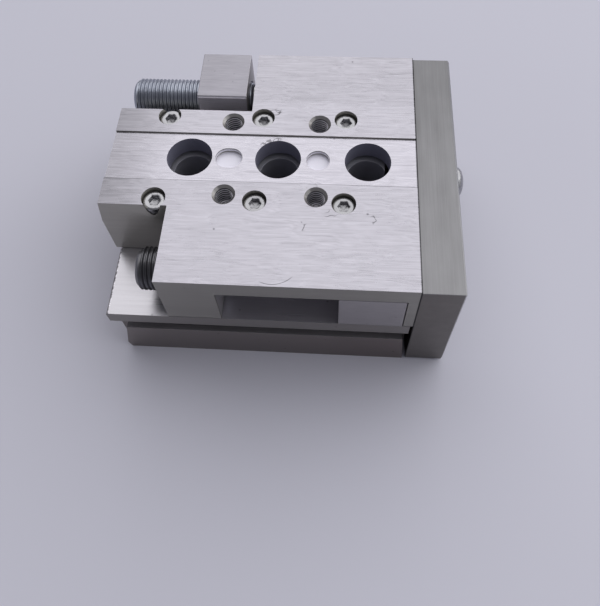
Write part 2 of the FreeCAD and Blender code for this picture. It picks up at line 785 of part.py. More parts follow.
def make_balls(side, label):
    """Balls of one row, as primitive spheres in one group."""
    balls = []
    for index, station in enumerate(ball_stations()):
        ball = doc.addObject("Part::Sphere", f"{label}_{index + 1}")
        ball.setExpression("Radius", "dims.ball_radius")
        ball.setExpression("Placement.Base.x", station)
        balls.append(ball)
    group = doc.addObject("Part::Compound", label)
    group.Label = label
    group.Links = balls
    group.setExpression("Placement.Base.x", YOKE_FACE)
    group.setExpression("Placement.Base.y", f"{side} * {BALL_ROW}")
    group.setExpression("Placement.Base.z", BALL_HEIGHT)
    doc.recompute()
    return group


def repeat_at(label, pattern, places, tilt=0.0):
    """Linked copies of one finished solid in one node, turned about Y."""
    copies = []
    turned = FreeCAD.Rotation(ALONG_Y, tilt)
    for index, place in enumerate(places, start=1):
        copy = doc.addObject("App::Link", f"{label}_{index}")
        copy.LinkedObject = pattern
        copy.Placement = FreeCAD.Placement(FreeCAD.Vector(), turned)
        for axis, expression in zip("xyz", place):
            copy.setExpression(f"Placement.Base.{axis}", expression)
        copies.append(copy)
    group = doc.addObject("Part::Compound", label)
    group.Label = label
    group.Links = copies
    doc.recompute()
    return group


def turned_template(label, profile, role="XZ_Plane"):
    """Turned solid about its own X axis, used as a pattern for a group."""
    body = new_body(label)
    sketch = sketch_on(body, role, "profile")
    draw_outline(sketch, profile)
    turn(body, sketch)
    return body


def cap_screw(label, radius, head_radius, head_height, length, socket, depth):
    """Cap screw along X with its head seat at the origin and head at +X."""
    crown = f"({head_height} - dims.edge_break / 2)"
    body = turned_template(label, [
        (f"0 - {length}", "0"),
        (f"0 - {length}", f"{radius} - dims.edge_break"),
        (f"dims.edge_break - {length}", radius),
        ("0", radius),
        ("0", head_radius),
        (crown, head_radius),
        (head_height, f"{head_radius} - dims.edge_break / 2"),
        (head_height, "0"),
    ])
    recess = sketch_on(body, "YZ_Plane", "socket", head_height)
    draw_hexagon(recess, "0", "0", socket)
    pocket(body, recess, depth)
    return body


def m3_screw(label, length):
    """M3 cap screw of the given length."""
    return cap_screw(label, "dims.m3_radius", "dims.m3_head_radius",
                     "dims.m3_head_height", length,
                     "dims.m3_socket", "dims.m3_socket_depth")


def make_m3_screws():
    """Six slide rail screws and two centre rail screws, all M3."""
    pattern = m3_screw("m3_pattern", "dims.m3_length")
    seat = "(dims.total_height - dims.m3_sink_depth)"
    places = [(f"{YOKE_FACE} - {station}", f"{side} * {SCREW_ROW}", seat)
              for station in SCREW_STATIONS for side in SIDES]
    slide_screws = repeat_at("slide_rail_screws", pattern, places, HEAD_UP)
    places = [(station, "0", RAIL_SCREW_SEAT) for station in between_stations()]
    centre_screws = repeat_at("centre_rail_screws", pattern, places, HEAD_UP)
    return slide_screws, centre_screws


def make_block_screws():
    """Cap screws that hold each stop block from under the housing."""
    length = ("(dims.ledge_top - dims.m3_sink_depth"
              f" + {BLOCK_SCREW_BITE} - dims.edge_break)")
    pattern = m3_screw("m3_long_pattern", length)
    places = [(x, y, "dims.m3_sink_depth") for x, y in block_screw_places()]
    front = repeat_at("front_block_screws", pattern, places[:2], HEAD_DOWN)
    rear = repeat_at("rear_block_screws", pattern, places[2:], HEAD_DOWN)
    return front, rear


def make_stop_block(side, label):
    """Housing mounted block; the rear one carries its adjuster."""
    body = new_body(label, block_middle(side), "0", "dims.ledge_top")
    if side < 0:
        length = "dims.front_block_length"
        inner = f"({WINDOW_INNER} + dims.front_block_side_gap)"
        height = f"({PLATE_UNDER} - dims.front_block_top_gap - dims.ledge_top)"
    else:
        length = "dims.rear_block_length"
        inner = f"({NOTCH_WALL} + dims.rear_block_side_gap)"
        height = "(dims.total_height - dims.ledge_top)"
    plan = sketch_on(body, "XY_Plane", "plan")
    draw_box(plan, (f"0 - {length} / 2", f"{side} * {inner}"),
             (f"{length} / 2", f"{side} * {HALF_WIDTH}"))
    pad(body, plan, height)
    top = value(height)
    near = side * value(inner)
    rim = edges_along(body.Shape, ALONG_X, lambda point: (
        abs(point.z - value("dims.ledge_top") - top) < 0.01
        and abs(point.y - near) < 0.01))
    bevel(body, rim, "dims.block_bevel")
    if side > 0:
        hole = sketch_on(body, "YZ_Plane", "adjuster_hole",
                         f"0 - {length} / 2 - dims.cut_overrun")
        draw_circle(hole, ADJUSTER_ROW, f"{ADJUSTER_HEIGHT} - dims.ledge_top",
                    "dims.adjuster_radius + dims.thread_gap")
        pocket(body, hole, f"{length} + 2 * dims.cut_overrun", reverse=True)
    threads = sketch_on(body, "XY_Plane", "threads")
    for step in SIDES:
        draw_circle(threads, f"{step} * dims.block_screw_pitch / 2",
                    f"{side} * {BLOCK_SCREW_ROW}",
                    "dims.m3_radius + dims.thread_gap")
    pocket(body, threads, BLOCK_SCREW_BITE, reverse=True)
    return body


def make_yoke():
    """End plate that joins the slide to both piston rods."""
    body = new_body("yoke_plate", YOKE_FACE, "0", "dims.total_height")
    face = sketch_on(body, "YZ_Plane", "outline")
    low = "(dims.yoke_lift - dims.total_height)"
    draw_box(face, (f"0 - {HALF_WIDTH}", low), (HALF_WIDTH, "0 - dims.yoke_set_down"))
    pad(body, face, "dims.yoke_thickness")
    rim = value(f"{YOKE_FACE} + dims.yoke_thickness")
    outer = []
    for axis in (ALONG_Y, ALONG_Z):
        outer += edges_along(body.Shape, axis, lambda point: abs(point.x - rim) < 0.01)
    bevel(body, outer, "dims.edge_break")
    over = "dims.yoke_thickness + 2 * dims.cut_overrun"
    holes = sketch_on(body, "YZ_Plane", "holes", "0 - dims.cut_overrun")
    for row in (-1, 0, 1):
        draw_circle(holes, f"{row} * dims.yoke_screw_row",
                    "0 - dims.yoke_screw_depth",
                    "dims.m4_radius + dims.m5_clear_gap")
    for side in SIDES:
        draw_circle(holes, f"{side} * {BORE_ROW}", BORE_DROP,
                    "dims.m5_radius + dims.m5_clear_gap")
    pocket(body, holes, over, reverse=True)
    pins = sketch_on(body, "YZ_Plane", "pins", "0 - dims.cut_overrun")
    for side in SIDES:
        draw_circle(pins, f"{side} * dims.pin_row", "0 - dims.pin_drop",
                    "dims.pin_radius + dims.fit_gap")
    pocket(body, pins, "dims.cut_overrun + dims.pin_length / 2", reverse=True)
    sinks = sketch_on(body, "YZ_Plane", "rod_sinks", "dims.yoke_thickness")
    for side in SIDES:
        draw_circle(sinks, f"{side} * {BORE_ROW}", BORE_DROP,
                    "dims.m5_head_radius + dims.m5_sink_gap")
    pocket(body, sinks, "dims.m5_head_height + dims.m5_sink_gap")
    for side, name in zip(SIDES, ("front", "rear")):
        cone = sketch_on(body, "XY_Plane", f"{name}_cone",
                         "0 - dims.yoke_screw_depth")
        row_y = f"{side} * dims.yoke_screw_row"
        flare = "(dims.m4_head_radius + dims.thread_gap)"
        draw_outline(cone, [
            ("dims.yoke_thickness + dims.cut_overrun", row_y),
            ("dims.yoke_thickness + dims.cut_overrun", f"{row_y} + {flare}"),
            ("dims.yoke_thickness", f"{row_y} + {flare}"),
            (f"dims.yoke_thickness - {flare}", row_y),
        ])
        add_turning_axis(cone, "0", row_y, "dims.yoke_thickness", row_y)
        groove(body, cone)
    return body


def make_yoke_screws():
    """Button head centre screw, flush side screws and rod screws."""
    reach = "(dims.yoke_thickness + dims.end_wall - dims.screw_end_gap)"
    button = turned_template("yoke_centre_screw", [
        (f"0 - {reach}", "0"),
        (f"0 - {reach}", "dims.m4_radius - dims.edge_break"),
        (f"dims.edge_break - {reach}", "dims.m4_radius"),
        ("0", "dims.m4_radius"),
        ("0", "dims.m4_button_radius"),
        ("dims.m4_button_height / 3", "dims.m4_button_radius"),
        ("dims.m4_button_height * 0.8", "dims.m4_button_radius * 0.8"),
        ("dims.m4_button_height", "dims.m4_button_crown"),
        ("dims.m4_button_height", "0"),
    ])
    recess = sketch_on(button, "YZ_Plane", "socket", "dims.m4_button_height")
    draw_hexagon(recess, "0", "0", "dims.m4_socket")
    pocket(button, recess, "dims.m4_socket_depth")
    button.setExpression("Placement.Base.x", f"{YOKE_FACE} + dims.yoke_thickness")
    button.setExpression("Placement.Base.z",
                         "dims.total_height - dims.yoke_screw_depth")
    cone = "(dims.m4_head_radius - dims.m4_radius)"
    flush = turned_template("flush_pattern", [
        (f"0 - {reach}", "0"),
        (f"0 - {reach}", "dims.m4_radius - dims.edge_break"),
        (f"dims.edge_break - {reach}", "dims.m4_radius"),
        (f"0 - {cone}", "dims.m4_radius"),
        ("0", "dims.m4_head_radius"),
        ("0", "0"),
    ])
    recess = sketch_on(flush, "YZ_Plane", "socket")
    draw_hexagon(recess, "0", "0", "dims.m4_socket")
    pocket(flush, recess, "dims.m4_socket_depth")
    outer = f"{YOKE_FACE} + dims.yoke_thickness"
    places = [(outer, f"{side} * dims.yoke_screw_row",
               "dims.total_height - dims.yoke_screw_depth") for side in SIDES]
    side_screws = repeat_at("yoke_side_screws", flush, places)
    seat = ("(dims.yoke_thickness - dims.m5_head_height - dims.m5_sink_gap)")
    rod_pattern = cap_screw("m5_pattern", "dims.m5_radius", "dims.m5_head_radius",
                            "dims.m5_head_height",
                            f"({seat} + dims.rod_screw_grip)",
                            "dims.m5_socket", "dims.m5_socket_depth")
    places = [(f"{YOKE_FACE} + {seat}", f"{side} * {BORE_ROW}", "dims.bore_height")
              for side in SIDES]
    rod_screws = repeat_at("rod_screws", rod_pattern, places)
    return button, side_screws, rod_screws


def make_pins():
    """Two dowel pins between slide and yoke."""
    half = "(dims.pin_length / 2)"
    pin = turned_template("pin_pattern", [
        (f"0 - {half}", "0"),
        (f"0 - {half}", "dims.pin_radius - dims.edge_break"),
        (f"dims.edge_break - {half}", "dims.pin_radius"),
        (f"{half} - dims.edge_break", "dims.pin_radius"),
        (half, "dims.pin_radius - dims.edge_break"),
        (half, "0"),
    ])
    places = [(YOKE_FACE, f"{side} * dims.pin_row",
               "dims.total_height - dims.pin_drop") for side in SIDES]
    return repeat_at("yoke_dowels", pin, places)


def cylinder_places(x):
    """The same X on both cylinder axes."""
    return [(x, f"{side} * {BORE_ROW}", "dims.bore_height") for side in SIDES]


def make_rods():
    """Piston rods with a spigot for the piston and a tapped yoke end."""
    start = f"(dims.piston_start + dims.piston_length - {HALF_LENGTH})"
    length = f"({YOKE_FACE} - {start})"
    rod = turned_template("rod_pattern", [
        ("0 - dims.spigot_length", "0"),
        ("0 - dims.spigot_length", "dims.spigot_radius"),
        ("0", "dims.spigot_radius"),
        ("0", "dims.rod_radius"),
        (f"{length} - dims.edge_break", "dims.rod_radius"),
        (length, "dims.rod_radius - dims.edge_break"),
        (length, "0"),
    ])
    thread = sketch_on(rod, "YZ_Plane", "thread", length)
    draw_circle(thread, "0", "0", "dims.m5_radius + dims.thread_gap")
    pocket(rod, thread, "dims.rod_screw_grip + dims.cut_overrun")
    return repeat_at("piston_rods", rod, cylinder_places(start))


def make_pistons():
    """Pistons with their seals and magnet rings."""
    radius = "(dims.bore_radius - dims.piston_gap)"
    floor = f"({radius} - dims.piston_groove_depth)"
    well = f"({radius} - dims.magnet_depth)"
    first = "dims.piston_groove_inset"
    second = "(dims.piston_length - dims.piston_groove_inset)"
    middle = "(dims.piston_length / 2)"
    hole = "(dims.spigot_radius + dims.fit_gap)"
    blind = "(dims.piston_length - dims.spigot_length - dims.fit_gap)"
    piston = turned_template("piston_pattern", [
        ("0", "0"),
        ("0", radius),
        (first, radius),
        (first, floor),
        (f"{first} + dims.piston_groove_width", floor),
        (f"{first} + dims.piston_groove_width", radius),
        (f"{middle} - dims.magnet_width / 2", radius),
        (f"{middle} - dims.magnet_width / 2", well),
        (f"{middle} + dims.magnet_width / 2", well),
        (f"{middle} + dims.magnet_width / 2", radius),
        (f"{second} - dims.piston_groove_width", radius),
        (f"{second} - dims.piston_groove_width", floor),
        (second, floor),
        (second, radius),
        ("dims.piston_length", radius),
        ("dims.piston_length", hole),
        (blind, hole),
        (blind, "0"),
    ])
    start = f"(dims.piston_start - {HALF_LENGTH})"
    pistons = repeat_at("pistons", piston, cylinder_places(start))
    lip = "(dims.bore_radius - dims.fit_gap)"
    seal = turned_template("seal_pattern", [
        ("0", floor),
        ("0", lip),
        ("dims.piston_groove_width / 3", radius),
        ("dims.piston_groove_width", radius),
        ("dims.piston_groove_width", floor),
    ])
    places = cylinder_places(f"{start} + {first}")
    places += cylinder_places(f"{start} + {second} - dims.piston_groove_width")
    seals = repeat_at("piston_seals", seal, places)
    magnet = turned_template("magnet_pattern", [
        ("0", well),
        ("0", radius),
        ("dims.magnet_width", radius),
        ("dims.magnet_width", well),
    ])
    places = cylinder_places(f"{start} + {middle} - dims.magnet_width / 2")
    magnets = repeat_at("piston_magnets", magnet, places)
    return pistons, seals, magnets


def make_rear_plugs():
    """Plugs, their seal rings and the clips that hold them."""
    radius = "(dims.bore_radius - dims.fit_gap)"
    near = "((dims.plug_length - dims.ring_groove_width) / 2)"
    far = "((dims.plug_length + dims.ring_groove_width) / 2)"
    floor = f"({radius} - dims.ring_groove_depth)"
    plug = turned_template("plug_pattern", [
        ("0", "0"),
        ("0", f"{radius} - dims.plug_bevel"),
        ("dims.plug_bevel", radius),
        (near, radius),
        (near, floor),
        (far, floor),
        (far, radius),
        ("dims.plug_length - dims.plug_bevel", radius),
        ("dims.plug_length", f"{radius} - dims.plug_bevel"),
        ("dims.plug_length", "0"),
    ])
    plugs = repeat_at("rear_plugs", plug, cylinder_places(PLUG_START))
    ring = turned_template("ring_pattern", [
        ("0 - dims.ring_groove_depth / 2", floor),
        ("0 - dims.ring_groove_depth / 2", f"{radius} - dims.edge_break"),
        ("dims.edge_break - dims.ring_groove_depth / 2", radius),
        ("dims.ring_groove_depth / 2 - dims.edge_break", radius),
        ("dims.ring_groove_depth / 2", f"{radius} - dims.edge_break"),
        ("dims.ring_groove_depth / 2", floor),
    ])
    middle = f"{PLUG_START} + dims.plug_length / 2"
    rings = repeat_at("plug_seals", ring, cylinder_places(middle))
    clip = new_body("clip_pattern")
    outer = "(dims.bore_radius + dims.clip_groove_depth - dims.thread_gap)"
    face = sketch_on(clip, "YZ_Plane", "ring")
    draw_circle(face, "0", "0", outer)
    draw_circle(face, "0", "0", f"{outer} - dims.clip_ring_width")
    pad(clip, face, "dims.clip_width - 2 * dims.fit_gap")
    gap = sketch_on(clip, "YZ_Plane", "opening", "0 - dims.cut_overrun")
    draw_box(gap, ("0 - dims.clip_opening / 2", "dims.clip_ring_width"),
             ("dims.clip_opening / 2", f"{outer} + dims.cut_overrun"))
    pocket(clip, gap, "dims.clip_width + 2 * dims.cut_overrun", reverse=True)
    place = f"{PLUG_START} - dims.clip_width + dims.fit_gap"
    clips = repeat_at("plug_clips", clip, cylinder_places(place))
    return plugs, rings, clips


def make_glands():
    """Rod bushes and rod seals in the yoke end of the housing."""
    outer = "(dims.gland_radius - dims.fit_gap)"
    inner = "(dims.rod_radius + dims.fit_gap)"
    bush = turned_template("bush_pattern", [
        ("0", inner),
        ("0", outer),
        ("dims.bush_length", outer),
        ("dims.bush_length", inner),
    ])
    start = f"({HALF_LENGTH} - dims.gland_depth)"
    bushes = repeat_at("rod_bushes", bush, cylinder_places(start))
    length = "(dims.gland_depth - dims.bush_length - dims.gland_rim)"
    seal = turned_template("rod_seal_pattern", [
        ("0", f"{inner} + dims.edge_break"),
        ("0", outer),
        (length, outer),
        (length, inner),
        (f"{length} - dims.edge_break", inner),
    ])
    place = f"{start} + dims.bush_length"
    seals = repeat_at("rod_seals", seal, cylinder_places(place))
    return bushes, seals


def make_adjuster(label, y, length, tip_reach):
    """Stop screw along X from its free end, with a seat for its tip."""
    body = turned_template(label, [
        ("0", "0"),
        ("0", "dims.adjuster_radius - dims.adjuster_bevel"),
        ("dims.adjuster_bevel", "dims.adjuster_radius"),
        (f"{length} - dims.adjuster_bevel", "dims.adjuster_radius"),
        (length, "dims.adjuster_radius - dims.adjuster_bevel"),
        (length, "dims.tip_radius + dims.fit_gap"),
        (f"{length} - dims.tip_inset", "dims.tip_radius + dims.fit_gap"),
        (f"{length} - dims.tip_inset", "0"),
    ])
    recess = sketch_on(body, "YZ_Plane", "socket")
    draw_hexagon(recess, "0", "0", "dims.adjuster_socket")
    pocket(body, recess, "dims.adjuster_socket_depth", reverse=True)
    tip = turned_template(f"{label}_tip", [
        ("0", "0"),
        ("0", "dims.tip_radius"),
        (f"dims.tip_inset + {tip_reach} - dims.tip_bevel", "dims.tip_radius"),
        (f"dims.tip_inset + {tip_reach}", "dims.tip_radius - dims.tip_bevel"),
        (f"dims.tip_inset + {tip_reach}", "0"),
    ])
    for item in (body, tip):
        item.setExpression("Placement.Base.y", y)
        item.setExpression("Placement.Base.z", ADJUSTER_HEIGHT)
    return body, tip


def make_adjusters():
    """Rear adjuster in its block and front adjuster in the slide leg."""
    stop = "(dims.rear_notch + dims.stop_gap + dims.rear_tip_reach)"
    length = f"(dims.rear_adjuster_end - {stop})"
    rear = make_adjuster("rear_adjuster", ADJUSTER_ROW, length,
                         "dims.rear_tip_reach")
    rear[0].setExpression("Placement.Base.x",
                          f"{YOKE_FACE} - dims.rear_adjuster_end")
    rear[1].setExpression("Placement.Base.x",
                          f"{YOKE_FACE} - {stop} - dims.tip_inset")
    stop = "(dims.window_rear - dims.front_tip_proud + dims.front_tip_reach)"
    length = f"(dims.front_adjuster_end - {stop})"
    front = make_adjuster("front_adjuster", f"0 - {ADJUSTER_ROW}", length,
                          "dims.front_tip_reach")
    front[0].setExpression("Placement.Base.x",
                           f"{YOKE_FACE} - dims.front_adjuster_end")
    front[1].setExpression("Placement.Base.x",
                           f"{YOKE_FACE} - {stop} - dims.tip_inset")
    doc.recompute()
    return rear + front


def build_all():
    """Make every node and return the finished objects."""
    nodes = [make_housing(), make_slide(), make_yoke(), make_centre_rail()]
    nodes.append(make_side_rail(-1, "slide_rail_front"))
    nodes.append(make_side_rail(1, "slide_rail_rear"))
    for side, name in zip(SIDES, ("front", "rear")):
        nodes.append(make_cage(side, f"ball_cage_{name}"))
        nodes.append(make_balls(side, f"balls_{name}"))
        nodes.append(make_stop_block(side, f"{name}_stop_block"))
    nodes.extend(make_m3_screws())
    nodes.extend(make_block_screws())
    nodes.extend(make_yoke_screws())
    nodes.append(make_pins())
    nodes.append(make_rods())
    nodes.extend(make_pistons())
    nodes.extend(make_rear_plugs())
    nodes.extend(make_glands())
    nodes.extend(make_adjusters())
    return nodes


def check_document():
    """Stop on any object that failed to recompute."""
    for item in doc.Objects:
        faults = [state for state in item.State if state in ("Invalid", "Error")]
        if faults:
            raise ValueError(f"{item.Name} is {faults[0]}")


def write_node(node):
    """Write one finished node as a STEP file."""
    shape = node.Shape
    if shape.isNull() or not shape.isValid() or not shape.Solids:
        raise ValueError(f"{node.Label} has no valid solid")
    shape.exportStep(os.path.join("parts", f"{node.Label}.step"))


finished = build_all()
doc.recompute()
check_document()
for finished_node in finished:
    write_node(finished_node)
print(f"{len(finished)} nodes written")
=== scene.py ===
import math

import bmesh
import bpy
from bpy.props import FloatProperty, FloatVectorProperty, IntProperty, PointerProperty
from mathutils import Matrix, Vector


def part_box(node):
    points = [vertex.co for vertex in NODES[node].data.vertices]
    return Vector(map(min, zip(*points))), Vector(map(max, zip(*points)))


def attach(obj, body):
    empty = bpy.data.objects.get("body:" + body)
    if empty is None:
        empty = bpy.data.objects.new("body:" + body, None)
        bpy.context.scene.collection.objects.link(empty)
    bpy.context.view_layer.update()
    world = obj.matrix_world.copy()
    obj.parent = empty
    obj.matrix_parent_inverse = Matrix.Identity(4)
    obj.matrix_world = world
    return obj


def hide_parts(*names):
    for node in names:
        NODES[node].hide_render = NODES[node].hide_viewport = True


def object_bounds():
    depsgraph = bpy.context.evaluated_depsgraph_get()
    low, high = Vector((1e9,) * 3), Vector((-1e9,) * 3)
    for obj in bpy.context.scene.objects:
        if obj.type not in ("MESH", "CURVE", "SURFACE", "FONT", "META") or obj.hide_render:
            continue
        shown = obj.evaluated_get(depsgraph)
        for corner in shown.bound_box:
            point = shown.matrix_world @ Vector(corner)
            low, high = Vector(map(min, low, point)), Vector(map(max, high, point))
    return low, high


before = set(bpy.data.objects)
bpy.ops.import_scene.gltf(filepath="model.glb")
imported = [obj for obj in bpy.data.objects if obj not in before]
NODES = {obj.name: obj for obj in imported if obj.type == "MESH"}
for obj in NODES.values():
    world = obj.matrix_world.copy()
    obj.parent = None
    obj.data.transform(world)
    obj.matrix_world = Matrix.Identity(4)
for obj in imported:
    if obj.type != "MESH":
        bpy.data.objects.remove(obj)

CAD_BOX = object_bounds()

bl_info = {
    "name": "Mini slide finish",
    "version": (1, 0, 0),
    "blender": (4, 5, 0),
    "location": "View3D > Sidebar > Mini Slide",
    "description": "Broken edges, threads and metal finishes for a pneumatic mini slide",
    "category": "Object",
}

MM = 0.001

# Sides of a turned piece and of a small screw, and the angles that count as edges.
ROUND = 72
SCREW_ROUND = 48
FLAT, SHARP, BEVEL_TURN, CORNER = [math.radians(turn) for turn in (0.6, 28.0, 50.0, 60.0)]

# Places of screws and threads, in millimetres.
YOKE_FACE, YOKE_SCREW_Z, YOKE_SCREW_REACH = 45.8, 32.0, 14.9
YOKE_SCREW_ROW = 10.0
ROD_SCREW_SEAT, ROD_ROW, ROD_Z = 45.55, 15.0, 10.6
TAP_RADIUS = 2.085
TAPPED_PLACES = [(x, y) for x in (13.25, -7.95) for y in (-10.5, 10.5)]
TAPPED_LOW, TAPPED_HIGH = 34.75, 39.35
PORT_PLACES, PORT_Z = (-27.8, 9.2), 6.4
PORT_LOW, PORT_HIGH = 24.5, 31.2
RAIL_SCREW_PLACES = [(x, y) for x in (19.6, -0.7, -24.0) for y in (-12.0, 12.0)]
RAIL_SCREW_FACE, RAIL_SCREW_REACH = 38.9, 9.0

# Places and widths that the finishes, edges, lamps and floor follow, in metres.
TABLE_END = 0.0364
STRIP_EDGE = 0.0069
NOTCH_FACE = 0.0165
INNER_EDGE, PISTON_EDGE, PIN_EDGE = 0.0001, 0.00008, 0.00012
LAMP_TARGET = (0.0, 0.0, 0.02)
FLOOR_DROP = 0.00005
ACCESS_HOLES = ((0.0250, 0.0), (0.0038, 0.0), (-0.0174, 0.0))
TABLE_THREADS = [(x * MM, y * MM) for x, y in TAPPED_PLACES]
WEAR_SPOTS = ((0.0025, 0.0137), (0.0101, -0.0182), (0.0168, -0.0151), (0.027, -0.0159))
WORN_RIM = ((0.0015, 0.0054),)
WEAR_ARCS = (
    ((0.0047, -0.0265), 0.0060, (0.0057, -0.0313), 0.0035),
    ((0.0019, 0.0119), 0.0027, (0.0012, 0.0146), 0.0022),
)


def tint(name, description, default):
    """Colour setting."""
    return FloatVectorProperty(name=name, description=description, default=default,
                               size=3, min=0.0, max=1.0, subtype="COLOR")


def length(name, description, default, largest=0.1):
    """Length setting, in metres."""
    return FloatProperty(name=name, description=description, default=default,
                         min=0.0, max=largest, precision=5, subtype="DISTANCE",
                         unit="LENGTH")


def share(name, description, default, largest):
    """Plain number from 0 up."""
    return FloatProperty(name=name, description=description, default=default,
                         min=0.0, max=largest, subtype="FACTOR")


class MiniSlideColours(bpy.types.PropertyGroup):
    """Colours of the slide's metals."""

    table_top: tint("Table top", "Ground upper face of the slide table", (0.42, 0.41, 0.455))
    table_side: tint("Table sides", "Extruded sides of the slide table", (0.38, 0.367, 0.338))
    housing_top: tint("Housing ledge", "Upper face of the housing", (0.54, 0.53, 0.565))
    housing_side: tint("Housing sides", "Extruded sides of the housing", (0.26, 0.245, 0.235))
    yoke: tint("Yoke plate", "Milled yoke plate", (0.214, 0.214, 0.223))
    block: tint("Stop blocks", "Milled stop blocks", (0.29, 0.283, 0.317))
    zinc: tint("Zinc plating", "Plated rear stop screw", (0.27, 0.287, 0.335))
    blackened: tint("Blackened steel", "Front stop screw", (0.11, 0.11, 0.12))
    screw: tint("Screw steel", "Socket screws", (0.33, 0.33, 0.345))
    hardened: tint("Hardened steel", "Rails, balls and stop tips", (0.46, 0.46, 0.48))
    bronze: tint("Bush bronze", "Rod bushes", (0.52, 0.33, 0.15))
    rubber: tint("Seal rubber", "Rod, piston and plug seals", (0.022, 0.022, 0.024))
    plastic: tint("Cage plastic", "Ball cages", (0.56, 0.53, 0.44))
    ferrite: tint("Magnet ferrite", "Piston magnets", (0.045, 0.043, 0.046))


class MiniSlideEdges(bpy.types.PropertyGroup):
    """Widths of the broken edges and sizes of the threads."""

    plate_edge: length("Plate edges", "Broken edge of table and housing", 0.00018, 0.001)
    yoke_edge: length("Yoke edges", "Broken edge of the yoke plate", 0.00025, 0.001)
    block_edge: length("Block edges", "Broken edge of the stop blocks", 0.00015, 0.001)
    rail_edge: length("Rail edges", "Broken edge of the ball rails", 0.0001, 0.001)
    stop_pitch: length("Stop screw pitch", "Thread pitch of the stop screws", 0.001, 0.01)
    stop_depth: length("Stop screw thread depth", "From crest to root", 0.0004, 0.005)
    table_pitch: length("Table thread pitch", "Pitch of the table's threaded holes",
                        0.0008, 0.01)
    table_rise: length("Table thread height", "Height of the thread ridge", 0.00018, 0.005)
    fine_pitch: length("Small screw pitch", "Pitch of the small screws", 0.0005, 0.01)
    knurls: IntProperty(name="Knurls", description="Knurls round a screw head",
                        default=36, min=12, max=36)


class MiniSlideStudio(bpy.types.PropertyGroup):
    """Floor, lamps and camera."""

    floor: tint("Floor", "Plain floor", (0.612, 0.612, 0.697))
    sky: tint("Surroundings", "Plain surroundings", (0.22, 0.22, 0.24))
    sky_level: share("Surroundings level", "Brightness of the surroundings", 1.0, 4.0)
    lamp_power: FloatProperty(name="Lamp power", description="Power of the large soft lamp",
                              default=33.1, min=0.0, max=200.0, subtype="POWER", unit="POWER")
    fill_power: FloatProperty(name="Fill power", description="Power of the side lamp",
                              default=1.0, min=0.0, max=200.0, subtype="POWER", unit="POWER")
    camera_place: FloatVectorProperty(name="Camera place", description="Camera position",
                                      default=(0.01875, -0.09353, 0.17257), size=3,
                                      precision=5, subtype="TRANSLATION", unit="LENGTH")
    camera_aim: FloatVectorProperty(name="Camera aim", description="Viewing direction",
                                    default=(-0.05888, 0.54801, -0.8344), size=3,
                                    precision=5, subtype="DIRECTION")
    camera_roll: FloatProperty(name="Camera roll",
                               description="Turn about the viewing direction",
                               default=math.radians(-3.335), subtype="ANGLE", unit="ROTATION")
    camera_lens: FloatProperty(name="Lens", description="Focal length in millimetres",
                               default=40.941, min=1.0, max=500.0, precision=3)
    camera_shift: FloatProperty(name="Shift", description="Vertical lens shift",
                                default=-0.2, min=-1.0, max=1.0)


class Signal:
    """Shader socket that can stand in an expression."""

    def __init__(self, tree, socket):
        self.tree = tree
        self.socket = socket

    def wire(self, kind, operation, slots, output):
        """Adds a maths node and links or sets its sockets."""
        node = self.tree.nodes.new(kind)
        node.operation = operation
        for slot, value in slots:
            if isinstance(value, Signal):
                self.tree.links.new(value.socket, node.inputs[slot])
            else:
                node.inputs[slot].default_value = value
        return Signal(self.tree, node.outputs[output])

    def combine(self, operation, first, second):
        """Maths on values goes through Math, on colours and vectors through Vector Math."""
        if self.socket.type == "VALUE":
            return self.wire("ShaderNodeMath", operation, [(0, first), (1, second)], 0)
        if operation == "MULTIPLY" and (isinstance(second, (int, float))
                                        or isinstance(second, Signal)
                                        and second.socket.type == "VALUE"):
            return self.wire("ShaderNodeVectorMath", "SCALE", [(0, first), ("Scale", second)], 0)
        return self.wire("ShaderNodeVectorMath", operation, [(0, first), (1, second)], 0)

    def __add__(self, other):
        return self.combine("ADD", self, other)

    __radd__ = __add__

    def __mul__(self, other):
        return self.combine("MULTIPLY", self, other)

    __rmul__ = __mul__

    def __sub__(self, other):
        return self.combine("SUBTRACT", self, other)

    def __rsub__(self, other):
        return self.combine("SUBTRACT", other, self)

    def __pow__(self, other):
        return self.combine("POWER", self, other)

    def __abs__(self):
        return self.combine("ABSOLUTE", self, 0.0)

    def least(self, other):
        return self.combine("MINIMUM", self, other)

    def most(self, other):
        return self.combine("MAXIMUM", self, other)


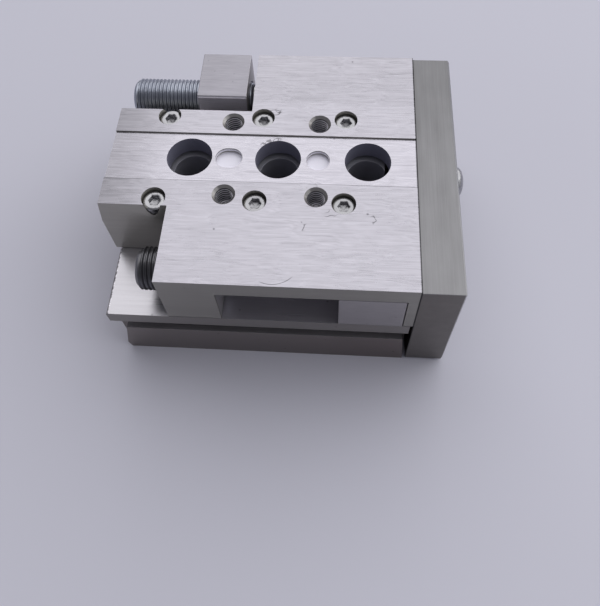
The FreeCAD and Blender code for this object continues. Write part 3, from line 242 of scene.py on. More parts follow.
class Finish:
    """Material whose nodes are added one by one."""

    def __init__(self, name):
        self.material = bpy.data.materials.new(name)
        self.material.use_nodes = True
        self.tree = self.material.node_tree
        self.tree.nodes.clear()
        coordinates = self.tree.nodes.new("ShaderNodeTexCoord")
        self.place = Signal(self.tree, coordinates.outputs["Object"])
        self.facing = Signal(self.tree, coordinates.outputs["Normal"])
        self.x, self.y, self.z = self.parts(self.place)
        self.across, self.aside, self.up = self.parts(self.facing)

    def node(self, kind, settings=None, values=None, output=0):
        """Adds a node: settings first, then the values or links of its sockets."""
        made = self.tree.nodes.new("ShaderNode" + kind)
        for key, value in (settings or {}).items():
            setattr(made, key, value)
        for key, value in (values or {}).items():
            if isinstance(value, Signal):
                self.tree.links.new(value.socket, made.inputs[key])
            else:
                made.inputs[key].default_value = value
        return Signal(self.tree, made.outputs[output]) if made.outputs else made

    def parts(self, vector):
        made = self.tree.nodes.new("ShaderNodeSeparateXYZ")
        self.tree.links.new(vector.socket, made.inputs[0])
        return [Signal(self.tree, socket) for socket in made.outputs]

    def between(self, value, low, high):
        """Smooth step from 0 at low to 1 at high."""
        return self.node("MapRange", {"interpolation_type": "SMOOTHSTEP"},
                         {"Value": value, "From Min": low, "From Max": high,
                          "To Min": 0.0, "To Max": 1.0})

    def band(self, value, low, high, soft):
        """1 between low and high, with soft borders."""
        return self.between(value, low - soft, low + soft) * \
            (1 - self.between(value, high - soft, high + soft))

    def apart(self, places):
        """Distance to the nearest of these upright axes."""
        least = None
        for x, y in places:
            along, aside = self.x - x, self.y - y
            distance = (along * along + aside * aside) ** 0.5
            least = distance if least is None else least.least(distance)
        return least

    def near(self, places, radius, soft=0.00008):
        """1 within a radius of any of these upright axes."""
        return 1 - self.between(self.apart(places), radius, radius + soft)

    def grain(self, stretch, detail=2.0, shift=0.0):
        """Noise with its own number of waves per metre on each axis, about 0."""
        if isinstance(shift, Signal):
            shift = self.node("CombineXYZ", None, {0: shift, 1: shift * 0.7, 2: shift * 1.3})
        else:
            shift = Vector((shift, shift * 0.7, shift * 1.3))
        vector = self.place * Vector(stretch) + shift
        return self.node("TexNoise", None, {"Vector": vector, "Scale": 1.0,
                                            "Detail": detail, "Roughness": 0.55}) - 0.5

    def specks(self, per_metre, size, rarity):
        """Small round marks, one at most in each cell."""
        settings = {"feature": "F1", "distance": "EUCLIDEAN"}
        values = {"Vector": self.place, "Scale": per_metre}
        distance = self.node("TexVoronoi", settings, values)
        colour = self.node("TexVoronoi", settings, values, 1)
        chosen = self.between(self.parts(colour)[0], rarity, rarity + 0.02)
        return (1 - self.between(distance, size * 0.6, size)) * chosen

    def scratches(self, stretch, rarity, shift=0.0):
        """Thin wandering lines, broken up."""
        lines = 1 - self.between(abs(self.grain(stretch, 0.0, shift)), 0.0015, 0.006)
        patches = self.grain((130, 130, 130), 1.0, shift + 5.0)
        return lines * self.between(patches, rarity, rarity + 0.04)

    def mix(self, factor, first, second):
        """Mixes two colours."""
        first, second = [(*c, 1.0) if not isinstance(c, Signal) and len(c) == 3 else c
                         for c in (first, second)]
        return self.node("Mix", {"data_type": "RGBA"}, {0: factor, 6: first, 7: second}, 2)

    def bump(self, height, depth, strength):
        """Fine relief, with its depth in metres."""
        return self.node("Bump", None, {"Height": height, "Distance": depth,
                                        "Strength": strength})

    def close(self, values):
        """Adds the surface shader with these socket values."""
        values.setdefault("Specular IOR Level", 0.5)
        shader = self.node("BsdfPrincipled", None, values)
        self.node("OutputMaterial", None, {"Surface": shader})
        return self.material


def ground_table(colours):
    """Ground top brushed along the travel, extruded sides, dull bores."""
    f = Finish("table_ground_aluminium")
    top = f.between(f.up, 0.55, 0.95)
    # Painted highlight: bevel faces that tilt upward are brightened in colour along the broken
    # edges.
    edge = f.band(f.up, 0.36, 0.90, 0.06)
    joint = 1 - f.between(abs(f.x - TABLE_END), 0.00010, 0.00022)
    low = 1 - f.between(f.z, 0.0380, 0.0386)
    bore = f.near(ACCESS_HOLES, 0.00552).most(f.near(ACCESS_HOLES, 0.0058) * low) * (1 - top)
    # Painted shade: the walls of the tapped holes are darkened in colour.
    tapped = f.near(TABLE_THREADS, 0.0028) * (1 - top)
    # Painted light: faces inside the legs and the stop window, not on top, get a lighter, less
    # metallic colour so these recessed faces don't render black.
    painted_light_inner = (1 - top) * f.band(abs(f.y), NOTCH_FACE, 0.0326, 0.0002)
    # Painted light: top faces lying below the table top, such as the recess floors, get a
    # lighter, less metallic colour.
    painted_light_seat = top * (1 - f.between(f.z, 0.0388, 0.0390))
    strip = top * (1 - f.between(abs(f.y), 0.00685, STRIP_EDGE)) \
        * (1 - f.between(f.z, 0.03965, 0.0397))
    # Painted shade: a thin dark line along the front edge of the centre strip.
    painted_shade_seam = top * f.band(f.y, -0.00706, -STRIP_EDGE, 0.00003)
    recess = (1 - top) * f.between(f.z, 0.0384, 0.0387) \
        * (1 - f.between(abs(f.y), 0.0060, 0.0065))
    # Painted shade: a thin dark line round the upper walls of the recesses.
    painted_shade_lip = recess * f.between(f.z, 0.03922, 0.03928)
    # Painted light: the lower walls of the recesses get a near-white, less metallic colour.
    painted_light_foot = recess * (1 - f.between(f.z, 0.0392, 0.03926)) * (1 - bore)
    wander = f.grain((60, 120, 120), 2.0, 11.0)
    fine = f.grain((150, 3400, 3400), 3.0, wander * 9.0)
    broad = f.grain((90, 1500, 1500), 3.0, wander * 5.0 + 4.0)
    cloud = f.grain((50, 90, 90), 3.0, 9.0)
    drawn = f.grain((12, 1500, 1500), 2.0, 2.0)
    dark = f.between(f.grain((70, 1500, 1500), 2.0, wander * 3.0 + 15.0), 0.13, 0.24)
    marks = f.specks(230, 0.085, 0.72)
    lines = f.scratches((40, 190, 190), 0.14, 3.0)
    away = f.apart(ACCESS_HOLES)
    chips = f.band(away, 0.0053, 0.0063, 0.0002) \
        * f.near(WORN_RIM, 0.0020, 0.0012) \
        * f.between(f.grain((1200, 1200, 1200), 2.0, 17.0), -0.07, -0.01)
    for centre, radius, middle, reach in WEAR_ARCS:
        line = 1 - f.between(abs(f.apart((centre,)) - radius), 0.00004, 0.00012)
        chips = chips.most(line * f.near((middle,), reach * 0.8, reach * 0.3))
    nicks = f.near(WEAR_SPOTS, 0.0008, 0.0010) \
        * (1 - f.between(abs(f.grain((330, 420, 420), 1.0, 2.0)), 0.010, 0.028))
    shade = 1 + top * (fine * 0.56 + broad * 0.40 + cloud * 0.14 - dark * 0.12) \
        + (1 - top) * (drawn * 0.22 + cloud * 0.16) \
        - marks * top * 0.40 - lines * top * 0.20 + edge * 0.24 \
        + strip * 0.12 - tapped * 0.60 - joint * 0.8 - painted_shade_lip * 0.7 - painted_shade_seam * 0.42 \
        - nicks.most(chips) * top * 0.66
    # Painted shade: faces of the legs beyond the notch face, not on top, are darkened.
    painted_leg_shade = (1 - top) * f.between(abs(f.y), NOTCH_FACE, 0.0175)
    # Painted shade: the top darkens towards its left end, and a little along a band near the
    # rear.
    film_and_painted_shade = top * (f.between(f.x * -1.0, 0.018, 0.037) + f.between(f.y, 0.016, 0.018) * 0.20)
    painted_light_cheek_tone, painted_light_seat_tone = (0.62, 0.60, 0.62), (0.75, 0.74, 0.83)
    bore_tone, painted_light_foot_tone = (0.26, 0.26, 0.34), (0.92, 0.91, 0.98)
    metal = f.mix(painted_light_inner, f.mix(top, colours.table_side, colours.table_top), painted_light_cheek_tone) \
        * (shade - painted_leg_shade * 0.22 - film_and_painted_shade * 0.38)
    metal = f.mix(painted_light_seat, metal, painted_light_seat_tone)
    colour = f.mix(painted_light_foot, f.mix(bore, metal, bore_tone), painted_light_foot_tone)
    rough = 0.30 + fine * 0.20 * top + cloud * 0.12 - strip * 0.06 + marks * 0.2 \
        + (1 - top) * (0.06 + drawn * 0.12) - edge * 0.10 + painted_light_seat * 0.15 + bore * 0.2
    height = (fine * 0.6 + broad * 0.5 - dark * 0.4) * top + drawn * (1 - top) - marks * 1.5 \
        - lines * 0.8
    metallic = 0.80 - painted_light_seat * 0.6 - (bore * 0.45 + painted_light_foot * 0.70 + painted_light_inner * 0.35) * (1 - top)
    return f.close({"Base Color": colour, "Metallic": metallic,
                    "Roughness": rough,
                    "Normal": f.bump(height, 0.00002, 0.4)})


def tapped_wall():
    """Wall of a tapped hole: painted highlights on the upper flanks over painted shade in the
    roots.
    """
    f = Finish("tapped_hole_wall")
    bottom = f.between(f.up, 0.9, 0.98)
    away = f.apart(TABLE_THREADS)
    # Painted light and shade: rings on the flat floor and turns up the wall alternate a light
    # flank colour with a near-black root colour.
    rings = f.between(away.combine("PINGPONG", away, 0.0003), 0.00008, 0.00016)
    turns = f.between(f.z.combine("PINGPONG", f.z, 0.0004), 0.00010, 0.00022)
    painted_lit_flank = bottom * rings + (1 - bottom) * turns
    film_and_painted_shade = f.grain((900, 900, 900), 2.0)
    painted_root_shade_tone, painted_highlight_tone = (0.05, 0.05, 0.06), (0.92, 0.91, 0.96)
    colour = f.mix(painted_lit_flank, painted_root_shade_tone, painted_highlight_tone) * (1 + film_and_painted_shade * 0.3)
    return f.close({"Base Color": colour, "Metallic": 0.15, "Roughness": 0.36 + film_and_painted_shade * 0.2,
                    "Normal": f.bump(film_and_painted_shade, 0.00001, 0.3)})


def extruded_housing(colours):
    """Housing: bright ledge, drawn sides, sawn end."""
    f = Finish("housing_extruded_aluminium")
    top = f.between(f.up, 0.55, 0.95)
    end = f.between(abs(f.across), 0.6, 0.9)
    # Painted highlight: bevel faces that tilt upward are brightened in colour along the broken
    # edges.
    edge = f.band(f.up, 0.12, 0.90, 0.06)
    drawn = f.grain((9, 1300, 1300), 3.0)
    fine = f.grain((50, 3600, 3600), 2.0, 6.0)
    sawn = f.grain((900, 900, 2600), 2.0, 1.0)
    cloud = f.grain((36, 36, 60), 2.0, 8.0)
    marks = f.specks(300, 0.11, 0.6)
    teeth = f.grain((500, 1300, 500), 2.0, 7.0)
    rim = f.between(f.x * -1.0, 0.0350, 0.0352) * f.between(f.z, 0.0195, 0.0205)
    # Painted shade and a painted reddish reflection: the housing's sides below about 13 mm,
    # under the overhanging plate, are darker and redder, more so towards +X.
    painted_shade_slab = (1 - top) * (1 - f.between(f.z, 0.0125, 0.0135))
    side = f.mix(painted_shade_slab * (0.6 + f.between(f.x, 0.0, 0.036) * 0.4), colours.housing_side,
                 Vector(colours.housing_side) * 0.70 + Vector((0.022, 0.0, 0.0)))
    shade = 1 + top * (fine * 0.16 + cloud * 0.08) + (1 - top) * (drawn * 0.26 + cloud * 0.20) \
        + end * sawn * 0.24 - marks * 0.22 + edge * 0.30 + rim * (teeth * 4.5 - 0.1)
    colour = f.mix(top, side, colours.housing_top) * shade
    rough = 0.38 - top * 0.08 + drawn * 0.14 + cloud * 0.10 + end * 0.08 - edge * 0.08 \
        + marks * 0.15
    height = fine * top + drawn * (1 - top) * (1 - end) + sawn * end * 1.6 - marks
    return f.close({"Base Color": colour, "Metallic": 1.0 - top * 0.15, "Roughness": rough,
                    "Normal": f.bump(height, 0.00002, 0.4)})


def milled_yoke(colours):
    """Yoke plate brushed across the travel."""
    f = Finish("yoke_milled_aluminium")
    # Painted highlight: bevel faces that tilt upward are brightened and mixed towards a lighter
    # grey along the broken edges.
    edge = f.band(f.up, 0.12, 0.90, 0.06)
    flat = f.between(abs(f.across), 0.6, 0.9)
    rim = f.between(abs(f.aside), 0.6, 0.9)
    fine = f.grain((3800, 55, 3800), 3.0)
    broad = f.grain((360, 9, 360), 2.0, 3.0)
    cloud = f.grain((40, 40, 40), 2.0, 5.0)
    stain = f.grain((240, 110, 240), 3.0, 13.0)
    # Painted shade: the faces other than the two ends darken towards the rear.
    film_and_painted_shade = (1 - flat) * f.between(f.y, -0.024, 0.034)
    marks = f.specks(240, 0.07, 0.8)
    joint = 1 - f.between(abs(f.x - TABLE_END), 0.00012, 0.00028)
    arcs = f.grain((60, 60, 2400), 2.0, 7.0)
    shade = 1 + (1 - flat) * (fine * 0.34 + broad * 0.30) + flat * arcs * 0.18 \
        + cloud * 0.20 + stain * (1 - flat) * 0.24 - film_and_painted_shade * 0.24 \
        - marks * 0.25 + edge * 0.35 - joint * 0.8
    # Painted shade: the faces towards front and rear get a darker, warmer copy of the yoke
    # colour.
    painted_shade_warm_tone = Vector(colours.yoke) * Vector((0.654, 0.60, 0.535))
    colour = f.mix(edge * 0.4, f.mix(rim, colours.yoke, painted_shade_warm_tone), (0.36, 0.365, 0.37)) * shade
    rough = 0.37 + fine * 0.16 + cloud * 0.10 + marks * 0.15
    height = fine * (1 - flat) + arcs * flat - marks
    return f.close({"Base Color": colour, "Metallic": 0.85, "Roughness": rough,
                    "Normal": f.bump(height, 0.00002, 0.4)})


def milled_block(colours):
    """Stop blocks: milled tops, painted light on the sides and a painted highlight on the rear
    block's edges.
    """
    f = Finish("block_milled_aluminium")
    # Painted highlight: bevel faces that tilt upward on the rear block are brightened in colour.
    edge = f.band(f.up, 0.12, 0.90, 0.06) * f.between(f.y, -0.001, 0.001)
    top = f.between(f.up, 0.6, 0.95)
    swirl = f.grain((120, 900, 900), 3.0, 2.0)
    drawn = f.grain((300, 2600, 2600), 3.0)
    cloud = f.grain((60, 60, 60), 2.0, 5.0)
    marks = f.specks(420, 0.12, 0.6)
    shade = 1 + top * swirl * 0.34 + drawn * 0.34 + cloud * 0.22 - marks * 0.2 + edge * 0.3
    base = Vector(colours.block)
    # Painted light: the sides get a lighter copy of the block colour than the top, and the rear
    # block's front face, which lies in shade, a much lighter and less metallic one.
    painted_light_sheltered = f.between(f.y, -0.001, 0.001) * f.between(f.aside * -1.0, 0.6, 0.9)
    side = f.mix(painted_light_sheltered, base * Vector((1.2, 1.17, 1.08)), base * Vector((2.4, 2.4, 2.55)))
    colour = f.mix(top, side, base) * shade
    rough = 0.32 + drawn * 0.16 + cloud * 0.1 - edge * 0.08
    height = top * swirl * 0.4 + drawn * 0.6 - marks
    return f.close({"Base Color": colour, "Metallic": 0.8 - painted_light_sheltered * 0.2, "Roughness": rough,
                    "Normal": f.bump(height, 0.00002, 0.35)})


def plated_steel(name, base, flake, rough, painted_top_highlight):
    """Plated screw: passivated coating, with a painted highlight on its upward faces."""
    f = Finish(name)
    film_and_painted_shade = f.grain((260, 260, 260), 3.0)
    cloud = f.grain((90, 90, 90), 2.0, 4.0)
    spots = f.specks(900, 0.22, 0.5)
    light = Vector(base) * 1.25 + Vector((0.03, 0.028, 0.02))
    # Painted highlight: faces that tilt upward are brightened by the given share.
    colour = f.mix(f.between(cloud, -0.15, 0.2) * flake, base, light) \
        * (1 + film_and_painted_shade * 0.22 - spots * 0.25 + f.between(f.up, 0.3, 0.9) * painted_top_highlight)
    return f.close({"Base Color": colour, "Metallic": 1.0,
                    "Roughness": rough + film_and_painted_shade * 0.16 + spots * 0.2,
                    "Normal": f.bump(film_and_painted_shade + spots * -0.6, 0.00001, 0.35)})


def black_steel(colours):
    """Blackened screw: oiled oxide with bare crests."""
    f = Finish("front_stop_black_oxide")
    film_and_painted_shade = f.grain((340, 340, 340), 3.0)
    bare = f.specks(800, 0.2, 0.66)
    colour = f.mix(bare * 0.5, colours.blackened, (0.22, 0.22, 0.23)) * (1 + film_and_painted_shade * 0.4)
    return f.close({"Base Color": colour, "Metallic": 0.85, "Roughness": 0.33 + film_and_painted_shade * 0.2,
                    "Normal": f.bump(film_and_painted_shade, 0.00001, 0.3), "Coat Weight": 0.15})


def screw_steel(colours):
    """Small socket screws: turned faces with fine rings."""
    f = Finish("socket_screw_steel")
    film_and_painted_shade = f.grain((700, 700, 700), 3.0)
    cloud = f.grain((160, 160, 160), 2.0, 4.0)
    spots = f.specks(1500, 0.2, 0.7)
    colour = f.mix(f.between(cloud, -0.1, 0.2) * 0.5, colours.screw,
                   Vector(colours.screw) * 1.3) * (1 + film_and_painted_shade * 0.25 - spots * 0.3)
    return f.close({"Base Color": colour, "Metallic": 1.0,
                    "Roughness": 0.27 + film_and_painted_shade * 0.16 + spots * 0.2,
                    "Normal": f.bump(film_and_painted_shade, 0.00001, 0.3)})


def ground_steel(name, base, rough, along, metal=1.0):
    """Ground and hardened steel."""
    f = Finish(name)
    fine = f.grain(along, 3.0)
    cloud = f.grain((70, 70, 70), 2.0, 4.0)
    spots = f.specks(700, 0.16, 0.72)
    colour = f.mix(f.between(cloud, -0.2, 0.2) * 0.3, base, Vector(base) * 0.82) \
        * (1 + fine * 0.20 - spots * 0.2)
    return f.close({"Base Color": colour, "Metallic": metal,
                    "Roughness": rough + fine * 0.12 + spots * 0.2,
                    "Normal": f.bump(fine, 0.00001, 0.3)})


def cast_bronze(colours):
    """Sintered bronze: fine pores and oil stains."""
    f = Finish("bush_sintered_bronze")
    pores = f.specks(2600, 0.3, 0.4)
    stain = f.grain((180, 180, 180), 3.0)
    colour = f.mix(f.between(stain, -0.1, 0.2) * 0.5, colours.bronze,
                   Vector(colours.bronze) * 0.6) * (1 - pores * 0.35)
    return f.close({"Base Color": colour, "Metallic": 0.9,
                    "Roughness": 0.42 + stain * 0.2 + pores * 0.2,
                    "Normal": f.bump(pores * -1.0, 0.00002, 0.5)})


def moulded(name, base, rough, grain_size):
    """Moulded rubber or plastic: matt skin with flow marks and dust."""
    f = Finish(name)
    skin = f.grain((grain_size, grain_size, grain_size), 3.0)
    flow = f.grain((60, 240, 60), 2.0, 5.0)
    dust = f.specks(1200, 0.16, 0.7)
    colour = f.mix(dust * 0.4, base, (0.5, 0.48, 0.45)) * (1 + skin * 0.3 + flow * 0.25)
    return f.close({"Base Color": colour, "Metallic": 0.0,
                    "Roughness": rough + skin * 0.15 + dust * 0.2,
                    "Normal": f.bump(skin + flow * 0.4, 0.00002, 0.4)})


def floor_surface(studio):
    """Plain pale tabletop with the faintest mottle."""
    f = Finish("floor_plain")
    cloud = f.grain((5, 5, 5), 2.0)
    colour = f.mix(f.between(cloud, -0.3, 0.3), Vector(studio.floor) * 0.985,
                   Vector(studio.floor) * 1.015)
    return f.close({"Base Color": colour, "Metallic": 0.0, "Roughness": 0.85 + cloud * 0.05,
                    "Specular IOR Level": 0.1})


FINISHES = {}


def finish(slot):
    """The material of one of the record's material slots, made once."""
    if slot not in FINISHES:
        colours = bpy.context.scene.mini_slide_colours
        makers = {
            "tapped": tapped_wall,
            "table_aluminium": lambda: ground_table(colours),
            "housing_aluminium": lambda: extruded_housing(colours),
            "yoke_aluminium": lambda: milled_yoke(colours),
            "block_aluminium": lambda: milled_block(colours),
            "piston_aluminium": lambda: ground_steel(
                "piston_turned_aluminium", (0.66, 0.65, 0.66), 0.34, (3200, 400, 400)),
            "rail_steel": lambda: ground_steel(
                "rail_ground_steel", colours.hardened, 0.24, (40, 3000, 3000)),
            "screw_steel": lambda: screw_steel(colours),
            "clip_steel": lambda: plated_steel(
                "clip_spring_steel", (0.16, 0.15, 0.15), 0.3, 0.35, 0.1),
            "ball_steel": lambda: ground_steel(
                "ball_polished_steel", (0.68, 0.68, 0.70), 0.10, (500, 500, 500)),
            "rod_chrome": lambda: ground_steel(
                "rod_hard_chrome", (0.62, 0.63, 0.66), 0.14, (3000, 300, 300)),
            "plated_steel": lambda: plated_steel(
                "rear_stop_zinc_plating", colours.zinc, 0.6, 0.34, 0.2),
            "black_steel": lambda: black_steel(colours),
            "tip_steel": lambda: ground_steel(
                "tip_turned_steel", (0.88, 0.88, 0.91), 0.24, (3000, 300, 300), 0.4),
            "greased": lambda: ground_steel(
                "rail_greased_steel", (0.34, 0.34, 0.385), 0.45, (60, 900, 900), 0.3),
            "bush_bronze": lambda: cast_bronze(colours),
            "seal_rubber": lambda: moulded("seal_nitrile_rubber", colours.rubber, 0.5, 2400),
            "cage_plastic": lambda: moulded("cage_moulded_plastic", colours.plastic, 0.4, 1600),
            "magnet_ferrite": lambda: moulded(
                "magnet_sintered_ferrite", colours.ferrite, 0.5, 3000),
        }
        FINISHES[slot] = makers[slot]()
    return FINISHES[slot]


def paint(node, slot):
    """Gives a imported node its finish."""
    target = NODES[node]
    for holder in target.material_slots:
        holder.material = finish(slot)


def settle(piece, mesh, body, slot, nodes=()):
    """Shades a new piece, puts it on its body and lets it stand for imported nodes."""
    mesh.materials.clear()
    mesh.materials.append(finish(slot))
    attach(piece, body)
    if nodes:
        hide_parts(*nodes)
    return piece


def keep_piece(name, builder, body, slot, nodes=(), corner=32.0):
    """Turns drawn rings and skins into a smooth shaded piece."""
    bmesh.ops.remove_doubles(builder, verts=builder.verts, dist=2e-6)
    bmesh.ops.dissolve_degenerate(builder, edges=builder.edges, dist=1e-6)
    if not builder.faces:
        raise RuntimeError(f"{name} has no faces")
    mesh = bpy.data.meshes.new(name)
    builder.to_mesh(mesh)
    builder.free()
    for face in mesh.polygons:
        face.use_smooth = True
    mesh.set_sharp_from_angle(angle=math.radians(corner))
    piece = bpy.data.objects.new(name, mesh)
    bpy.context.scene.collection.objects.link(piece)
    return settle(piece, mesh, body, slot, nodes)


def broken_edges(name, node, width, body, slot):
    """A node's own shape with every sharp edge broken."""
    source = NODES[node]
    builder = bmesh.new()
    builder.from_mesh(source.data)
    bmesh.ops.remove_doubles(builder, verts=builder.verts, dist=1e-6)
    bmesh.ops.dissolve_limit(builder, angle_limit=FLAT, verts=builder.verts,
                             edges=builder.edges)
    corners = []
    for edge in builder.edges:
        turn = edge.calc_face_angle(0.0)
        if turn > SHARP:
            edge.smooth = False
            if turn > CORNER and edge.is_convex:
                corners.append(edge)
    made = bmesh.ops.bevel(builder, geom=corners, offset=width, segments=2, profile=0.5,
                           affect="EDGES", clamp_overlap=True)
    for edge in {e for face in made["faces"] for e in face.edges}:
        edge.smooth = edge.calc_face_angle(0.0) < BEVEL_TURN
    for face in builder.faces:
        face.smooth = True
    mesh = bpy.data.meshes.new(name)
    builder.to_mesh(mesh)
    builder.free()
    piece = bpy.data.objects.new(name, mesh)
    bpy.context.scene.collection.objects.link(piece)
    flat = piece.modifiers.new("flat_faces", "WEIGHTED_NORMAL")
    flat.weight = 80
    flat.keep_sharp = True
    shown = bpy.data.meshes.new_from_object(
        piece.evaluated_get(bpy.context.evaluated_depsgraph_get()))
    piece.modifiers.clear()
    piece.data = shown
    bpy.data.meshes.remove(mesh)
    shown.name = name
    return settle(piece, shown, body, slot, (node,))


def circle(radius):
    return lambda turn: radius


def hexagon(half_flats):
    step = math.pi / 3
    return lambda turn: half_flats / math.cos(turn % step - step / 2)


def knurled(radius, count, depth):
    return lambda turn: radius - depth * abs(math.sin(count * turn / 2 + math.pi / 4))


def axis_frame(origin, direction):
    """Frame whose third axis runs along a direction from an origin in millimetres."""
    turn = Vector((0, 0, 1)).rotation_difference(Vector(direction))
    return Matrix.Translation(Vector(origin) * MM) @ turn.to_matrix().to_4x4() \
        @ Matrix.Scale(MM, 4)


def skin(builder, axes, stations, count=ROUND):
    """Faces between outlines at distances along an axis; an outline of None is a point."""
    rings = []
    for distance, outline in stations:
        if outline is None:
            rings.append([builder.verts.new(axes @ Vector((0, 0, distance)))])
            continue
        ring = []
        for index in range(count):
            turn = 2 * math.pi * index / count
            radius = outline(turn)
            ring.append(builder.verts.new(
                axes @ Vector((radius * math.cos(turn), radius * math.sin(turn), distance))))
        rings.append(ring)
    for low, high in zip(rings, rings[1:]):
        for index in range(count):
            after = (index + 1) % count
            if len(low) == 1:
                builder.faces.new((low[0], high[after], high[index]))
            elif len(high) == 1:
                builder.faces.new((low[index], low[after], high[0]))
            else:
                builder.faces.new((low[index], low[after], high[after], high[index]))


def helix(builder, axes, start, end, pitch, profile, limit, inward=False, count=ROUND):
    """Thread surface: a profile of (share of the pitch, radius) swept along a helix."""
    steps = len(profile)
    turns = int(math.ceil((end - start) / pitch)) + 2
    grid = []
    for row in range(turns * steps + 1):
        part, radius = profile[row % steps]
        line = []
        for index in range(count + 1):
            distance = start - pitch * 1.5 + pitch * (row // steps + part + index / count)
            held = min(max(distance, start), end)
            turn = 2 * math.pi * index / count
            size = limit(held, radius)
            line.append(builder.verts.new(
                axes @ Vector((size * math.cos(turn), size * math.sin(turn), held))))
        grid.append(line)
    for low, high in zip(grid, grid[1:]):
        for index in range(count):
            loop = (low[index], low[index + 1], high[index + 1], high[index])
            builder.faces.new(reversed(loop) if inward else loop)


def tapped_ridge(builder, axes, low, high, edges):
    """Thread ridge on a tapped hole's wall, fading out at both ends."""
    pitch, crest = edges.table_pitch / MM, TAP_RADIUS - edges.table_rise / MM
    helix(builder, axes, low, high, pitch,
          [(0.0, TAP_RADIUS), (0.22, TAP_RADIUS), (0.5, crest), (0.62, crest),
           (0.9, TAP_RADIUS)],
          lambda at, radius: max(radius, TAP_RADIUS - max(0.0, min(at - low, high - at))),
          inward=True)


def thread_profile(crest, root):
    """Trapezoid thread over one pitch."""
    return [(0.0, root), (0.16, root), (0.44, crest), (0.62, crest), (0.90, root)]


def screw(builder, axes, size):
    """Socket screw with its head's face at distance 0 and its shank going down the axis."""
    head, height, socket, depth = size["head"], size["height"], size["socket"], size["depth"]
    shank, reach, pitch = size["shank"], size["reach"], size["pitch"]
    rim = size["rim"]
    side = knurled(head, size["knurls"], size["knurl_depth"])
    skin(builder, axes, [
        (-depth - socket * 0.25, None),
        (-depth, hexagon(socket * 0.98)),
        (-0.12, hexagon(socket)),
        (0.0, circle(socket * 1.1547 + 0.12)),
        (0.0, circle(head - rim)),
        (-rim * 0.12, circle(head - rim * 0.62)),
        (-rim * 0.45, circle(head - rim * 0.2)),
        (-rim * 0.9, side),
        (-height + 0.15, side),
        (-height, circle(head - 0.15)),
        (-height, circle(shank + 0.12)),
        (-height - 0.12, circle(shank)),
        (-height - 0.5, circle(shank)),
    ][::-1])
    crest, root = shank, shank - pitch * 0.58
    base = -height - reach
    helix(builder, axes, base, -height - 0.5, pitch, thread_profile(crest, root),
          lambda at, radius: min(radius, root - 0.1 + (at - base)), count=SCREW_ROUND)
    skin(builder, axes, [(base, None), (base, circle(root - 0.1))], SCREW_ROUND)


class SlideOperator:
    """Shared settings of the operators."""

    bl_options = {"REGISTER", "UNDO"}

    @property
    def edges(self):
        return bpy.context.scene.mini_slide_edges


class MINISLIDE_OT_table(SlideOperator, bpy.types.Operator):
    """Break the slide table's edges and grind its top"""

    bl_idname = "minislide.table"
    bl_label = "Slide table"

    def execute(self, context):
        broken_edges("table_body", "slide", self.edges.plate_edge, "table", "table_aluminium")
        return {"FINISHED"}


class MINISLIDE_OT_table_threads(SlideOperator, bpy.types.Operator):
    """Cut the threads of the table's four mounting holes"""

    bl_idname = "minislide.table_threads"
    bl_label = "Table threads"

    def execute(self, context):
        builder = bmesh.new()
        for x, y in TAPPED_PLACES:
            axes = axis_frame((x, y, 0), (0, 0, 1))
            tapped_ridge(builder, axes, TAPPED_LOW, TAPPED_HIGH, self.edges)
            bottom = TAPPED_LOW - 0.03
            skin(builder, axes, [(bottom, circle(2.09)), (bottom, None)])
        ridges = keep_piece("table_thread_ridges", builder, "table", "table_aluminium")
        ridges.data.materials[0] = finish("tapped")
        return {"FINISHED"}


class MINISLIDE_OT_housing(SlideOperator, bpy.types.Operator):
    """Break the housing's edges and thread its air ports"""

    bl_idname = "minislide.housing"
    bl_label = "Housing"

    def execute(self, context):
        broken_edges("housing_body", "housing", self.edges.plate_edge, "base",
                     "housing_aluminium")
        builder = bmesh.new()
        for x in PORT_PLACES:
            tapped_ridge(builder, axis_frame((x, 0, PORT_Z), (0, 1, 0)), PORT_LOW, PORT_HIGH,
                         self.edges)
        ridges = keep_piece("port_thread_ridges", builder, "base", "housing_aluminium")
        ridges.data.materials[0] = finish("tapped")
        return {"FINISHED"}


class MINISLIDE_OT_yoke(SlideOperator, bpy.types.Operator):
    """Break the yoke plate's edges and brush it"""

    bl_idname = "minislide.yoke"
    bl_label = "Yoke plate"

    def execute(self, context):
        broken_edges("yoke_body", "yoke_plate", self.edges.yoke_edge, "table",
                     "yoke_aluminium")
        return {"FINISHED"}


class MINISLIDE_OT_stop_blocks(SlideOperator, bpy.types.Operator):
    """Mill both stop blocks"""

    bl_idname = "minislide.stop_blocks"
    bl_label = "Stop blocks"

    def execute(self, context):
        for name, node in (("front_block_body", "front_stop_block"),
                           ("rear_block_body", "rear_stop_block")):
            broken_edges(name, node, self.edges.block_edge, "base", "block_aluminium")
        return {"FINISHED"}


